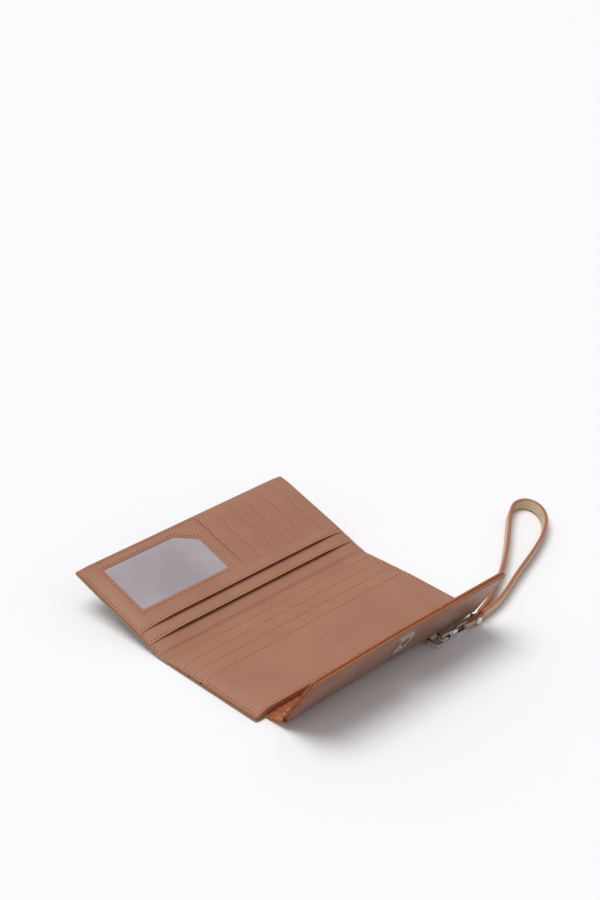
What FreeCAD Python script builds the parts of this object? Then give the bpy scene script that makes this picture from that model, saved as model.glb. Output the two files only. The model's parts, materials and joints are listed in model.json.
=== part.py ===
"""Long wallet, lying open: a card panel, a folding leaf, a spine strip with a closing flap and turn lock,
and a wrist strap on a swivel hook. Millimetres, +X along the wallet, +Y towards the leaf, +Z up.
The origin is the middle of the card panel's underside."""
import FreeCAD, Part
import math
import os

import Sketcher
from FreeCAD import Placement, Rotation, Vector

DIMENSIONS = {
    # whole wallet
    "wallet_long": 195.0,
    "panel_deep": 88.8,
    "leaf_deep": 91.8,
    "corner_round": 2.5,
    # leather and board
    "shell_thick": 1.4,
    "board_thick": 0.8,
    "board_inset": 5.0,
    "lining_thick": 0.8,
    "pocket_thick": 0.8,
    # pockets on the card panel: how far each top edge lies from the crease
    "full_pocket_edge": 0.8,
    "card_row_first": 11.4,
    "card_row_pitch": 11.6,
    # the crease between panel and leaf
    "crease_gap": 7.3,
    "leaf_to_axis": 2.2,
    "leaf_rise": 16.3,
    "close_gap": 0.4,
    "fold_gap": 0.4,
    "fit_gap": 0.2,
    # leaf: bill pockets, window, card slots
    "bill_edge": 10.0,
    "id_edge": 21.0,
    "window_left": 16.3,
    "window_right": 94.5,
    "window_near": 36.5,
    "window_far": 80.8,
    "window_cut_long": 15.0,
    "window_cut_deep": 10.8,
    "film_thick": 0.3,
    "film_margin": 5.0,
    "card_left": 105.5,
    "card_pitch": 14.6,
    "card_thick": 0.5,
    "card_gap": 0.06,
    "card_near": 25.0,
    "card_margin": 1.5,
    # spine strip
    "strip_inset": 8.0,
    "gutter": 2.0,
    "spine_wide": 15.2,
    "spine_rise": 24.0,
    "spine_outer_thick": 1.0,
    "spine_lining_thick": 1.2,
    "spine_board_thick": 0.5,
    "spine_board_inset": 2.0,
    "bend_gap": 1.0,
    "spine_under": 1.2,
    # flap
    "flap_deep": 52.6,
    "flap_rise": 57.9,
    "flap_outer_thick": 1.2,
    "flap_lining_thick": 2.8,
    "flap_board_thick": 1.2,
    "flap_under": 2.0,
    # turn lock
    "lock_down": 31.5,
    "plate_long": 24.0,
    "plate_wide": 12.0,
    "plate_thick": 1.2,
    "backplate_thick": 0.8,
    "slot_long": 15.0,
    "slot_wide": 6.4,
    "slot_margin": 0.4,
    "base_long": 21.0,
    "base_wide": 10.0,
    "base_thick": 1.2,
    "stem_radius": 2.0,
    "running_gap": 0.05,
    "washer_radius": 3.6,
    "knob_long": 13.0,
    "knob_wide": 4.0,
    "knob_thick": 2.8,
    "knob_gap": 0.3,
    # ring, hook and swivel
    "chain_high": 3.7,
    "ring_from_end": 47.5,
    "ring_beyond": 13.6,
    "wire_thick": 1.8,
    "ring_long": 11.6,
    "ring_deep": 11.1,
    "tab_wide": 7.4,
    "tab_wall": 0.7,
    "tab_bore_radius": 1.35,
    "tab_back": 4.2,
    "ring_gap": 0.45,
    "jaw_long": 12.0,
    "jaw_high": 7.0,
    "jaw_wall": 1.8,
    "jaw_thick": 3.0,
    "jaw_round": 3.2,
    "jaw_round_inside": 0.8,
    "jaw_corner_long": 1.2,
    "jaw_forward": 5.2,
    "jaw_gap_long": 4.3,
    "gate_thick": 1.2,
    "gate_gap": 0.25,
    "gate_pin_radius": 0.6,
    "gate_inset": 0.1,
    "neck_radius": 2.2,
    "neck_long": 3.2,
    "post_radius": 1.25,
    "post_head_radius": 1.6,
    "post_head_thick": 1.0,
    "post_head_gap": 0.3,
    "eye_long": 12.0,
    "eye_high": 7.2,
    "eye_wall": 1.1,
    "eye_thick": 1.8,
    "eye_round": 1.6,
    "eye_round_inside": 0.5,
    "eye_gap": 0.4,
    # wrist strap
    "loop_long": 16.1,
    "loop_high": 4.6,
    "loop_thick": 5.8,
    "strap_wide": 9.0,
    "strap_thick": 2.6,
    "strap_apart": 0.3,
    "strap_high": 4.8,
    "rivet_radius": 1.0,
    "rivet_cap_radius": 2.6,
    "rivet_cap_thick": 0.9,
    "rivet_from_end": 4.5,
}

# the wrist strap's route, seen from above and measured from the end of its folded loop: out along the
# front leg, round the end and back
STRAP_ROUTE = [
    (16.0, 0.0),
    (32.0, 5.2),
    (56.0, 15.2),
    (83.0, 24.7),
    (108.0, 35.2),
    (128.0, 47.7),
    (139.0, 63.2),
    (139.0, 76.2),
    (129.0, 80.7),
    (116.0, 73.7),
    (98.0, 59.2),
    (76.0, 42.2),
    (55.0, 27.7),
    (35.0, 16.2),
    (18.0, 7.2),
]
# how much of the shorter neighbouring run each bend of the strap takes up
ARC_SHARE = 0.45
# how far a cut starts outside the metal it goes through
CUT_OVER = 0.1
# how many card pitches deep each card strip on the leaf is
CARD_REACH = 1.6
CARD_COUNT = 6

doc = FreeCAD.newDocument("LongWallet")
dims = doc.addObject("Spreadsheet::Sheet", "Dims")
for row, (alias, value) in enumerate(DIMENSIONS.items(), start=1):
    dims.set(f"A{row}", alias)
    dims.set(f"B{row}", str(value))
    dims.setAlias(f"B{row}", alias)
doc.recompute()

nodes = []


def size(alias):
    return float(dims.get(alias))


def keep(thing, name, place=None):
    """Make an object one of the wallet's sub-parts."""
    thing.Label = name
    if place is not None:
        thing.Placement = place
    nodes.append(thing)
    return thing


def at(x, y, z, turn=None):
    return Placement(Vector(x, y, z), turn or Rotation())


# ---- features ----


def new_body(name):
    return doc.addObject("PartDesign::Body", name + "_body")


def new_sketch(body, name):
    """An empty sketch on the body's own XY plane."""
    sketch = body.newObject("Sketcher::SketchObject", name)
    plane = next(p for p in body.Origin.OriginFeatures if p.Role == "XY_Plane")
    sketch.AttachmentSupport = [(plane, "")]
    sketch.MapMode = "FlatFace"
    return sketch


def outline(sketch, corners):
    """A closed outline of straight sides; each corner is two expressions, measured from the origin."""
    count = len(corners)
    ring = [
        Vector(60 + 50 * math.cos(2 * math.pi * k / count), 60 + 50 * math.sin(2 * math.pi * k / count), 0)
        for k in range(count)
    ]
    first = sketch.GeometryCount
    for k in range(count):
        sketch.addGeometry(Part.LineSegment(ring[k], ring[(k + 1) % count]), False)
    for k in range(count):
        sketch.addConstraint(Sketcher.Constraint("Coincident", first + k, 2, first + (k + 1) % count, 1))
    for k, corner in enumerate(corners):
        for kind, where in zip(("DistanceX", "DistanceY"), corner):
            number = sketch.addConstraint(Sketcher.Constraint(kind, -1, 1, first + k, 1, 10.0))
            sketch.setExpression(f"Constraints[{number}]", str(where))
    return sketch


def rectangle(sketch, left, front, right, back):
    return outline(sketch, [(left, front), (right, front), (right, back), (left, back)])


def circle(sketch, x, y, radius):
    number = sketch.addGeometry(Part.Circle(Vector(10, 10, 0), Vector(0, 0, 1), 2), False)
    for kind, where in (("DistanceX", x), ("DistanceY", y)):
        constraint = sketch.addConstraint(Sketcher.Constraint(kind, -1, 1, number, 3, 10.0))
        sketch.setExpression(f"Constraints[{constraint}]", str(where))
    constraint = sketch.addConstraint(Sketcher.Constraint("Radius", number, 2.0))
    sketch.setExpression(f"Constraints[{constraint}]", str(radius))
    return sketch


def pad(body, sketch, thick):
    feature = body.newObject("PartDesign::Pad", sketch.Name + "_pad")
    feature.Profile = sketch
    feature.setExpression("Length", str(thick))
    doc.recompute()
    return feature


def pocket(body, sketch, deep=None, start=None):
    """Cut a sketch's outline upwards out of the body: all the way, or deep from a start height."""
    before = body.Shape.Volume
    if start is not None:
        sketch.setExpression(".AttachmentOffset.Base.z", str(start))
    feature = body.newObject("PartDesign::Pocket", sketch.Name + "_pocket")
    feature.Profile = sketch
    feature.Reversed = True
    if deep is None:
        feature.Type = "ThroughAll"
    else:
        feature.setExpression("Length", str(deep))
    doc.recompute()
    if body.Shape.Volume >= before:
        raise RuntimeError(f"{sketch.Name} cuts nothing")
    return feature


def round_uprights(body, feature, radius, inside=None):
    """Round the upright edges, or only those inside a box."""
    names = []
    for number, edge in enumerate(feature.Shape.Edges, start=1):
        upright = len(edge.Vertexes) == 2 and (edge.Vertexes[0].Point - edge.Vertexes[1].Point)
        if upright and abs(upright.x) < 1e-6 and abs(upright.y) < 1e-6:
            if inside is None or inside.isInside(edge.Vertexes[0].Point):
                names.append(f"Edge{number}")
    fillet = body.newObject("PartDesign::Fillet", feature.Name + "_round")
    fillet.Base = (feature, names)
    fillet.setExpression("Radius", str(radius))
    doc.recompute()
    return fillet


def leather_sheet(name, wide, deep, thick, rounded=True):
    """A flat sheet with its left front corner on the origin."""
    body = new_body(name)
    feature = pad(body, rectangle(new_sketch(body, name + "_edge"), 0, 0, wide, deep), thick)
    if rounded:
        round_uprights(body, feature, "Dims.corner_round")
    return body


def ring_plate(name, wide, deep, wall, thick, outer_round, inner_round):
    """A rounded rectangular ring with its left front corner on the origin."""
    body = new_body(name)
    feature = pad(body, rectangle(new_sketch(body, name + "_edge"), 0, 0, wide, deep), thick)
    feature = round_uprights(body, feature, outer_round)
    hole = rectangle(
        new_sketch(body, name + "_hole"), wall, wall, f"{wide} - {wall}", f"{deep} - {wall}"
    )
    feature = pocket(body, hole)
    inner = feature.Shape.BoundBox
    half_wall = size(wall.replace("Dims.", "")) / 2
    inner.enlarge(-half_wall)
    inner.ZMin -= 2 * half_wall
    inner.ZMax += 2 * half_wall
    round_uprights(body, feature, inner_round, inner)
    return body


def oval_sketch(body, name, x, y, long_way, wide_way):
    """An oval lying along Y: two half circles and two straight sides."""
    sketch = new_sketch(body, name)
    low, high = Vector(20, 20, 0), Vector(20, 40, 0)
    up = Vector(0, 0, 1)
    sketch.addGeometry(Part.ArcOfCircle(Part.Circle(low, up, 5), math.pi, 2 * math.pi), False)
    sketch.addGeometry(Part.LineSegment(Vector(25, 20, 0), Vector(25, 40, 0)), False)
    sketch.addGeometry(Part.ArcOfCircle(Part.Circle(high, up, 5), 0, math.pi), False)
    sketch.addGeometry(Part.LineSegment(Vector(15, 40, 0), Vector(15, 20, 0)), False)
    for one, one_end, other, other_end in ((0, 2, 1, 1), (1, 2, 2, 1), (2, 2, 3, 1), (3, 2, 0, 1)):
        sketch.addConstraint(Sketcher.Constraint("Tangent", one, one_end, other, other_end))
    for straight in (1, 3):
        sketch.addConstraint(Sketcher.Constraint("Vertical", straight))
    radius = f"({wide_way}) / 2"
    half = f"(({long_way}) - ({wide_way})) / 2"
    for kind, item, start, where in (
        ("DistanceY", 0, low.y, f"({y}) - {half}"),
        ("DistanceY", 2, high.y, f"({y}) + {half}"),
        ("DistanceX", 0, low.x, f"{x}"),
    ):
        constraint = sketch.addConstraint(Sketcher.Constraint(kind, -1, 1, item, 3, start))
        sketch.setExpression(f"Constraints[{constraint}]", where)
    constraint = sketch.addConstraint(Sketcher.Constraint("Radius", 0, 5.0))
    sketch.setExpression(f"Constraints[{constraint}]", radius)
    return sketch


def cylinder(name, radius, height, place):
    thing = doc.addObject("Part::Cylinder", name)
    thing.setExpression("Radius", str(radius))
    thing.setExpression("Height", str(height))
    thing.Placement = place
    return thing


def box(name, long_way, wide_way, high_way, place):
    thing = doc.addObject("Part::Box", name)
    for side, length in (("Length", long_way), ("Width", wide_way), ("Height", high_way)):
        thing.setExpression(side, str(length))
    thing.Placement = place
    return thing


def fuse(name, *things):
    thing = doc.addObject("Part::MultiFuse", name)
    thing.Shapes = list(things)
    thing.Refine = True
    return thing


def cut(name, base, *tools):
    thing = doc.addObject("Part::Cut", name)
    thing.Base = base
    thing.Tool = tools[0] if len(tools) == 1 else fuse(name + "_tools", *tools)
    return thing


X_AXIS = Vector(1, 0, 0)
Y_AXIS = Vector(0, 1, 0)
UPRIGHT = Rotation(X_AXIS, 90)
ALONG_X = Rotation(Y_AXIS, 90)
left = -size("wallet_long") / 2
front = -size("panel_deep") / 2
crease = size("panel_deep") / 2

# ---- card panel: shell, board, lining and four pocket fronts, one on top of another ----
height = 0.0
keep(
    leather_sheet("shell_back", "Dims.wallet_long", "Dims.panel_deep", "Dims.shell_thick"),
    "shell_back",
    at(left, front, height),
)
height += size("shell_thick")


def board_and_lining(names, wide, deep, board, board_inset, lining, place, holes=None):
    """A stiffening board lying in a recess in the underside of the lining over it."""
    board_name, lining_name = names
    inset = f"({board_inset})"
    sheet = leather_sheet(lining_name, wide, deep, lining)
    recess = rectangle(
        new_sketch(sheet, lining_name + "_recess"),
        inset,
        inset,
        f"{wide} - {inset}",
        f"{deep} - {inset}",
    )
    pocket(sheet, recess, board)
    stiff = leather_sheet(
        board_name,
        f"{wide} - 2 * {inset} - 2 * Dims.fit_gap",
        f"{deep} - 2 * {inset} - 2 * Dims.fit_gap",
        board,
        rounded=False,
    )
    shift = size(board_inset.replace("Dims.", "")) + size("fit_gap")
    if holes:
        holes(sheet, stiff, shift)
    keep(sheet, lining_name, place)
    keep(stiff, board_name, place * at(shift, shift, 0))


board_and_lining(
    ("back_board", "back_lining"),
    "Dims.wallet_long",
    "Dims.panel_deep",
    "Dims.board_thick",
    "Dims.board_inset",
    "(Dims.board_thick + Dims.lining_thick)",
    at(left, front, height),
)
height += size("board_thick") + size("lining_thick")

pocket_edges = {"full_pocket": "Dims.full_pocket_edge"}
for step, name in enumerate(("card_row_rear", "card_row_middle", "card_row_front")):
    pocket_edges[name] = f"(Dims.card_row_first + {step} * Dims.card_row_pitch)"
for name, edge in pocket_edges.items():
    keep(
        leather_sheet(name, "Dims.wallet_long", f"Dims.panel_deep - {edge}", "Dims.pocket_thick"),
        name,
        at(left, front, height),
    )
    height += size("pocket_thick")
panel_top = height

# ---- the crease: outer fold leather level with the shell, inner fold lining level with the lining ----
fold_wide = "(Dims.crease_gap - Dims.fold_gap)"
keep(
    leather_sheet("fold_leather", "Dims.wallet_long", fold_wide, "Dims.shell_thick", rounded=False),
    "fold_leather",
    at(left, crease, 0),
)
keep(
    leather_sheet(
        "fold_lining",
        "Dims.wallet_long",
        "(Dims.crease_gap - 2 * Dims.fold_gap)",
        "Dims.lining_thick",
        rounded=False,
    ),
    "fold_lining",
    at(left, crease, size("shell_thick") + size("board_thick")),
)

# ---- leaf, built flat about the fold axis and raised to its rest angle ----
card_slope = (size("card_thick") + size("card_gap")) / size("card_pitch")
card_drop = card_slope * CARD_REACH * size("card_pitch")
leaf_lined = size("shell_thick") + size("board_thick") + size("lining_thick")
leaf_top = leaf_lined + 2 * size("pocket_thick") + card_drop + size("card_thick")
fold_axis = Vector(
    0,
    crease + size("crease_gap") - size("leaf_to_axis"),
    (panel_top + leaf_top + size("close_gap")) / 2,
)
leaf_frame = Placement(fold_axis, Rotation(X_AXIS, size("leaf_rise")))
leaf_corner = at(left, size("leaf_to_axis"), -fold_axis.z)


def on_leaf(x, y, z, turn=None):
    return leaf_frame * leaf_corner * at(x, y, z, turn)


spine_axis = Vector(0, front - size("gutter"), size("shell_thick"))
lock_across = "Dims.wallet_long / 2"
lock_along = fold_axis.y - (spine_axis.y + size("lock_down")) - size("leaf_to_axis")

shell_leaf = leather_sheet("shell_leaf", "Dims.wallet_long", "Dims.leaf_deep", "Dims.shell_thick")
pocket(
    shell_leaf,
    circle(
        new_sketch(shell_leaf, "shell_leaf_lock"),
        lock_across,
        lock_along,
        "Dims.stem_radius + 4 * Dims.running_gap",
    ),
)
keep(shell_leaf, "shell_leaf", on_leaf(0, 0, 0))


def washer_hole(lining, board, inset):
    sketch = circle(
        new_sketch(board, "leaf_board_lock"),
        f"{lock_across} - {inset}",
        lock_along - inset,
        "Dims.washer_radius + Dims.running_gap",
    )
    pocket(board, sketch)


board_and_lining(
    ("leaf_board", "leaf_lining"),
    "Dims.wallet_long",
    "Dims.leaf_deep",
    "Dims.board_thick",
    "Dims.board_inset",
    "(Dims.board_thick + Dims.lining_thick)",
    on_leaf(0, 0, size("shell_thick")),
    washer_hole,
)
leaf_height = leaf_lined
keep(
    leather_sheet("bill_pocket", "Dims.wallet_long", "Dims.leaf_deep - Dims.bill_edge", "Dims.pocket_thick"),
    "bill_pocket",
    on_leaf(0, size("bill_edge"), leaf_height),
)
leaf_height += size("pocket_thick")

id_panel = leather_sheet(
    "id_panel", "Dims.wallet_long", "Dims.leaf_deep - Dims.id_edge", "Dims.pocket_thick"
)
window_left, window_right = "Dims.window_left", "Dims.window_right"
window_near, window_far = "Dims.window_near - Dims.id_edge", "Dims.window_far - Dims.id_edge"
film_room = rectangle(
    new_sketch(id_panel, "id_panel_film_room"),
    f"{window_left} - Dims.film_margin",
    f"{window_near} - Dims.film_margin",
    f"{window_right} + Dims.film_margin",
    f"{window_far} + Dims.film_margin",
)
pocket(id_panel, film_room, "Dims.film_thick")
window = outline(
    new_sketch(id_panel, "id_panel_window"),
    [
        (window_left, window_near),
        (window_right, window_near),
        (window_right, f"{window_far} - Dims.window_cut_deep"),
        (f"{window_right} - Dims.window_cut_long", window_far),
        (window_left, window_far),
    ],
)
pocket(id_panel, window)
keep(id_panel, "id_panel", on_leaf(0, size("id_edge"), leaf_height))
film_edge = size("film_margin") - size("fit_gap")
keep(
    leather_sheet(
        "id_window",
        "Dims.window_right - Dims.window_left + 2 * Dims.film_margin - 2 * Dims.fit_gap",
        "Dims.window_far - Dims.window_near + 2 * Dims.film_margin - 2 * Dims.fit_gap",
        "Dims.film_thick",
    ),
    "id_window",
    on_leaf(size("window_left") - film_edge, size("window_near") - film_edge, leaf_height),
)
leaf_height += size("pocket_thick")

# card slots on the leaf: six strips laid like shingles, each hem standing over the strip before it
for k in range(CARD_COUNT):
    hem = size("card_left") + k * size("card_pitch")
    reach = min(CARD_REACH * size("card_pitch"), size("wallet_long") - size("card_margin") - hem)
    low = card_drop - reach * card_slope
    name = f"leaf_card_{k + 1}"
    strip = new_body(name)
    profile = outline(
        new_sketch(strip, name + "_edge"),
        [
            (0, card_drop),
            (reach, low),
            (reach, f"{low} + Dims.card_thick"),
            (0, f"{card_drop} + Dims.card_thick"),
        ],
    )
    pad(strip, profile, "Dims.leaf_deep - Dims.card_margin - Dims.card_near")
    far = size("leaf_deep") - size("card_margin")
    keep(strip, name, on_leaf(hem, far, leaf_height, UPRIGHT))

# ---- turn lock on the leaf: base plate outside, washer inside, knob turning in both ----
flap_plane = spine_axis.z + size("spine_wide")
leaf_outside = 2 * fold_axis.z
knob_start = flap_plane + size("flap_under") + size("plate_thick") + size("knob_gap") - leaf_outside
lock_frame = on_leaf(size("wallet_long") / 2, lock_along, 0, Rotation(X_AXIS, 180))

lock_base = new_body("lock_base")
base_middle = "Dims.base_long"
pad(
    lock_base,
    oval_sketch(
        lock_base, "lock_base_edge", base_middle, base_middle, "Dims.base_long", "Dims.base_wide"
    ),
    "Dims.base_thick",
)
pocket(
    lock_base,
    circle(
        new_sketch(lock_base, "lock_base_bore"),
        base_middle,
        base_middle,
        "Dims.stem_radius + Dims.running_gap",
    ),
)
keep(lock_base, "lock_base", lock_frame * at(-size("base_long"), -size("base_long"), 0))

inside = size("shell_thick") + size("board_thick")
keep(
    cut(
        "washer_ring",
        cylinder("washer_disc", "Dims.washer_radius", "Dims.board_thick", Placement()),
        cylinder("washer_bore", "Dims.stem_radius + Dims.running_gap", "Dims.board_thick", Placement()),
    ),
    "lock_washer",
    lock_frame * at(0, 0, -inside),
)

knob = new_body("lock_knob")
knob_middle = "Dims.knob_long"
pad(
    knob,
    oval_sketch(knob, "knob_head", knob_middle, knob_middle, "Dims.knob_long", "Dims.knob_wide"),
    "Dims.knob_thick",
)
stem = pad(
    knob,
    circle(new_sketch(knob, "knob_stem"), knob_middle, knob_middle, "Dims.stem_radius"),
    f"{knob_start} + Dims.shell_thick + Dims.board_thick - Dims.running_gap",
)
stem.Reversed = True
keep(knob, "lock_knob", lock_frame * at(-size("knob_long"), -size("knob_long"), knob_start))

# ---- spine strip, hinged on the shell's front edge ----
keep(
    leather_sheet(
        "front_fold",
        "Dims.wallet_long - 2 * Dims.strip_inset",
        "Dims.gutter - Dims.fold_gap",
        "Dims.shell_thick - Dims.fit_gap",
        rounded=False,
    ),
    "front_fold",
    at(left + size("strip_inset"), front - size("gutter") + size("fold_gap"), 0),
)
spine_frame = Placement(spine_axis, Rotation(X_AXIS, -size("spine_rise")))
strip_wide = "(Dims.wallet_long - 2 * Dims.strip_inset)"
strip_deep = "(Dims.spine_wide - 2 * Dims.bend_gap)"
strip_left = left + size("strip_inset")


def on_spine(x, along, z, turn=None):
    """A place on the strip: along it from the hinge, and above its middle plane."""
    return spine_frame * at(x, -along, z, turn)


strip_end = size("spine_wide") - size("bend_gap")
skin = size("spine_under")
keep(
    leather_sheet("spine_outer", strip_wide, strip_deep, "Dims.spine_outer_thick"),
    "spine_outer",
    on_spine(strip_left, strip_end, -skin),
)
recess_at = "Dims.spine_board_inset"
spine_lining = leather_sheet("spine_lining", strip_wide, strip_deep, "Dims.spine_lining_thick")
pocket(
    spine_lining,
    rectangle(
        new_sketch(spine_lining, "spine_lining_recess"),
        recess_at,
        recess_at,
        f"{strip_wide} - {recess_at}",
        f"{strip_deep} - {recess_at}",
    ),
    "Dims.spine_board_thick",
)
keep(spine_lining, "spine_lining", on_spine(strip_left, strip_end, size("spine_outer_thick") - skin))
keep(
    leather_sheet(
        "spine_board",
        f"{strip_wide} - 2 * ({recess_at} + Dims.fit_gap)",
        f"{strip_deep} - 2 * ({recess_at} + Dims.fit_gap)",
        "Dims.spine_board_thick",
        rounded=False,
    ),
    "spine_board",
    on_spine(
        strip_left + size("spine_board_inset") + size("fit_gap"),
        strip_end - size("spine_board_inset") - size("fit_gap"),
        size("spine_outer_thick") - skin,
    ),
)

# ---- flap, hinged on the strip's outer edge ----
flap_turn = size("flap_rise") - size("spine_rise")
flap_frame = spine_frame * at(0, -size("spine_wide"), 0, Rotation(X_AXIS, -flap_turn))
flap_body_deep = "(Dims.flap_deep - Dims.bend_gap)"
under = size("flap_under")


def on_flap(x, along, z, turn=None):
    return flap_frame * at(x, -along, z, turn)


slot_x = f"({strip_wide} / 2)"
slot_y = "(Dims.flap_deep - Dims.lock_down)"


def slot_cut(body, name, inset=0.0):
    """The opening that the lock's knob passes through, a little larger than the plate's slot."""
    long_half = "(Dims.slot_long / 2 + Dims.slot_margin)"
    wide_half = "(Dims.slot_wide / 2 + Dims.slot_margin)"
    return pocket(
        body,
        rectangle(
            new_sketch(body, name),
            f"{slot_x} - {wide_half} - {inset}",
            f"{slot_y} - {long_half} - {inset}",
            f"{slot_x} + {wide_half} - {inset}",
            f"{slot_y} + {long_half} - {inset}",
        ),
    )


flap_outer = leather_sheet("flap_outer", strip_wide, flap_body_deep, "Dims.flap_outer_thick")
slot_cut(flap_outer, "flap_outer_slot")
keep(flap_outer, "flap_outer", on_flap(strip_left, size("flap_deep"), -under))


def flap_holes(lining, board, inset):
    slot_cut(lining, "flap_lining_slot")
    slot_cut(board, "flap_board_slot", inset)
    pocket(
        lining,
        oval_sketch(
            lining,
            "flap_lining_plate_room",
            slot_x,
            slot_y,
            "Dims.plate_long + 4 * Dims.running_gap",
            "Dims.plate_wide + 4 * Dims.running_gap",
        ),
        "Dims.backplate_thick",
        "Dims.flap_lining_thick - Dims.backplate_thick",
    )


board_and_lining(
    ("flap_board", "flap_lining"),
    strip_wide,
    flap_body_deep,
    "Dims.flap_board_thick",
    "Dims.board_inset",
    "Dims.flap_lining_thick",
    on_flap(strip_left, size("flap_deep"), size("flap_outer_thick") - under),
    flap_holes,
)

for name, thick, level in (
    ("lock_plate", "plate_thick", -under - size("plate_thick")),
    (
        "lock_backplate",
        "backplate_thick",
        size("flap_outer_thick") + size("flap_lining_thick") - under - size("backplate_thick"),
    ),
):
    plate = new_body(name)
    middle = "Dims.plate_long"
    pad(
        plate,
        oval_sketch(plate, name + "_edge", middle, middle, "Dims.plate_long", "Dims.plate_wide"),
        f"Dims.{thick}",
    )
    pocket(plate, oval_sketch(plate, name + "_slot", middle, middle, "Dims.slot_long", "Dims.slot_wide"))
    keep(
        plate,
        name,
        on_flap(-size("plate_long"), size("lock_down") + size("plate_long"), level),
    )

# ---- ring on its tab under the strip ----
ring_x = -left - size("ring_from_end")
bar_y = spine_axis.y - size("ring_beyond")
chain_y = bar_y - size("jaw_forward")
ring_half = size("wire_thick") / 2
ring = ring_plate(
    "strap_ring",
    "Dims.ring_long",
    "Dims.ring_deep",
    "Dims.wire_thick",
    "Dims.wire_thick",
    "Dims.wire_thick",
    "Dims.wire_thick / 3",
)
ring_right = ring_x + size("ring_long") / 2
keep(
    ring,
    "strap_ring",
    at(
        ring_x - size("ring_long") / 2,
        bar_y + ring_half - size("ring_deep"),
        size("chain_high") - ring_half,
    ),
)

bar_place = spine_frame.inverse().multVec(Vector(0, bar_y, size("chain_high")))
tab_out = size("tab_bore_radius") + size("tab_wall")
tab_left = ring_x - size("tab_wide") / 2
tab_round = cylinder(
    "tab_round",
    "(Dims.tab_bore_radius + Dims.tab_wall)",
    "Dims.tab_wide",
    spine_frame * at(tab_left, bar_place.y, bar_place.z, ALONG_X),
)
tab_block = box(
    "tab_block",
    "Dims.tab_wide",
    "Dims.tab_back",
    tab_out - skin - bar_place.z,
    spine_frame * at(tab_left, bar_place.y, bar_place.z - tab_out),
)
tab_bore = cylinder(
    "tab_bore",
    "Dims.tab_bore_radius",
    "Dims.tab_wide",
    spine_frame * at(tab_left, bar_place.y, bar_place.z, ALONG_X),
)
keep(cut("tab_cut", fuse("tab_solid", tab_round, tab_block), tab_bore), "ring_tab")

# ---- hook: jaw, neck, gate and pin ----
leg = ring_right - ring_half
jaw_left = leg - ring_half - size("ring_gap") - size("jaw_wall")
jaw_right = jaw_left + size("jaw_long")
jaw_low = size("chain_high") - size("jaw_high") / 2
jaw_back = chain_y + size("jaw_thick") / 2
jaw = ring_plate(
    "hook_jaw",
    "Dims.jaw_long",
    "Dims.jaw_high",
    "Dims.jaw_wall",
    "Dims.jaw_thick",
    "min(Dims.jaw_round; Dims.jaw_high / 2 - Dims.fit_gap)",
    "Dims.jaw_round_inside",
)
jaw.Placement = at(jaw_left, jaw_back, jaw_low, UPRIGHT)
neck = cylinder(
    "hook_neck",
    "Dims.neck_radius",
    "Dims.neck_long + Dims.jaw_wall / 2",
    at(jaw_right - size("jaw_wall") / 2, chain_y, size("chain_high"), ALONG_X),
)
gap_right = jaw_right - size("jaw_wall") - size("jaw_corner_long")
gap_left = gap_right - size("jaw_gap_long")
jaw_gap = box(
    "jaw_gap",
    "Dims.jaw_gap_long",
    "Dims.jaw_thick",
    f"Dims.jaw_wall + {2 * CUT_OVER}",
    at(gap_left, chain_y - size("jaw_thick") / 2, jaw_low - CUT_OVER),
)
post_bore = cylinder(
    "post_bore",
    "Dims.post_radius + Dims.running_gap",
    f"Dims.jaw_wall + Dims.neck_long + {2 * CUT_OVER}",
    at(jaw_right - size("jaw_wall") - CUT_OVER, chain_y, size("chain_high"), ALONG_X),
)
pin_x = gap_right + size("jaw_wall") / 2
pin_z = jaw_low + size("jaw_wall") / 2
pin_bore = cylinder(
    "gate_pin_bore",
    "Dims.gate_pin_radius",
    "Dims.jaw_thick",
    at(pin_x, jaw_back, pin_z, UPRIGHT),
)
gate_room = cylinder(
    "gate_room",
    "Dims.jaw_wall / 2 + Dims.gate_gap",
    "Dims.gate_thick + 2 * Dims.gate_gap",
    at(pin_x, chain_y + size("gate_thick") / 2 + size("gate_gap"), pin_z, UPRIGHT),
)
gate_slot = box(
    "gate_slot",
    "Dims.jaw_wall / 2 + 2 * Dims.fit_gap",
    "Dims.gate_thick + 2 * Dims.gate_gap",
    "2 * Dims.jaw_wall",
    at(
        gap_right - size("fit_gap"),
        chain_y - size("gate_thick") / 2 - size("gate_gap"),
        jaw_low - CUT_OVER,
    ),
)
keep(
    cut("hook_cut", fuse("hook_solid", jaw, neck), jaw_gap, post_bore, pin_bore, gate_room, gate_slot),
    "hook_body",
)
keep(
    cylinder(
        "gate_pin_rod",
        "Dims.gate_pin_radius",
        "Dims.jaw_thick",
        at(pin_x, jaw_back, pin_z, UPRIGHT),
    ),
    "gate_pin",
)
gate_left = gap_left + size("gate_gap")
gate_bar = box(
    "gate_bar",
    pin_x - gate_left,
    "Dims.gate_thick",
    "Dims.jaw_wall - 2 * Dims.gate_inset",
    at(gate_left, chain_y - size("gate_thick") / 2, jaw_low + size("gate_inset")),
)
gate_knuckle = cylinder(
    "gate_knuckle",
    "Dims.jaw_wall / 2 - Dims.gate_inset",
    "Dims.gate_thick",
    at(pin_x, chain_y + size("gate_thick") / 2, pin_z, UPRIGHT),
)
gate_bore = cylinder(
    "gate_bore",
    "Dims.gate_pin_radius + Dims.running_gap",
    f"Dims.gate_thick + {2 * CUT_OVER}",
    at(pin_x, chain_y + size("gate_thick") / 2 + CUT_OVER, pin_z, UPRIGHT),
)
keep(cut("gate_cut", fuse("gate_solid", gate_bar, gate_knuckle), gate_bore), "hook_gate")

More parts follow.
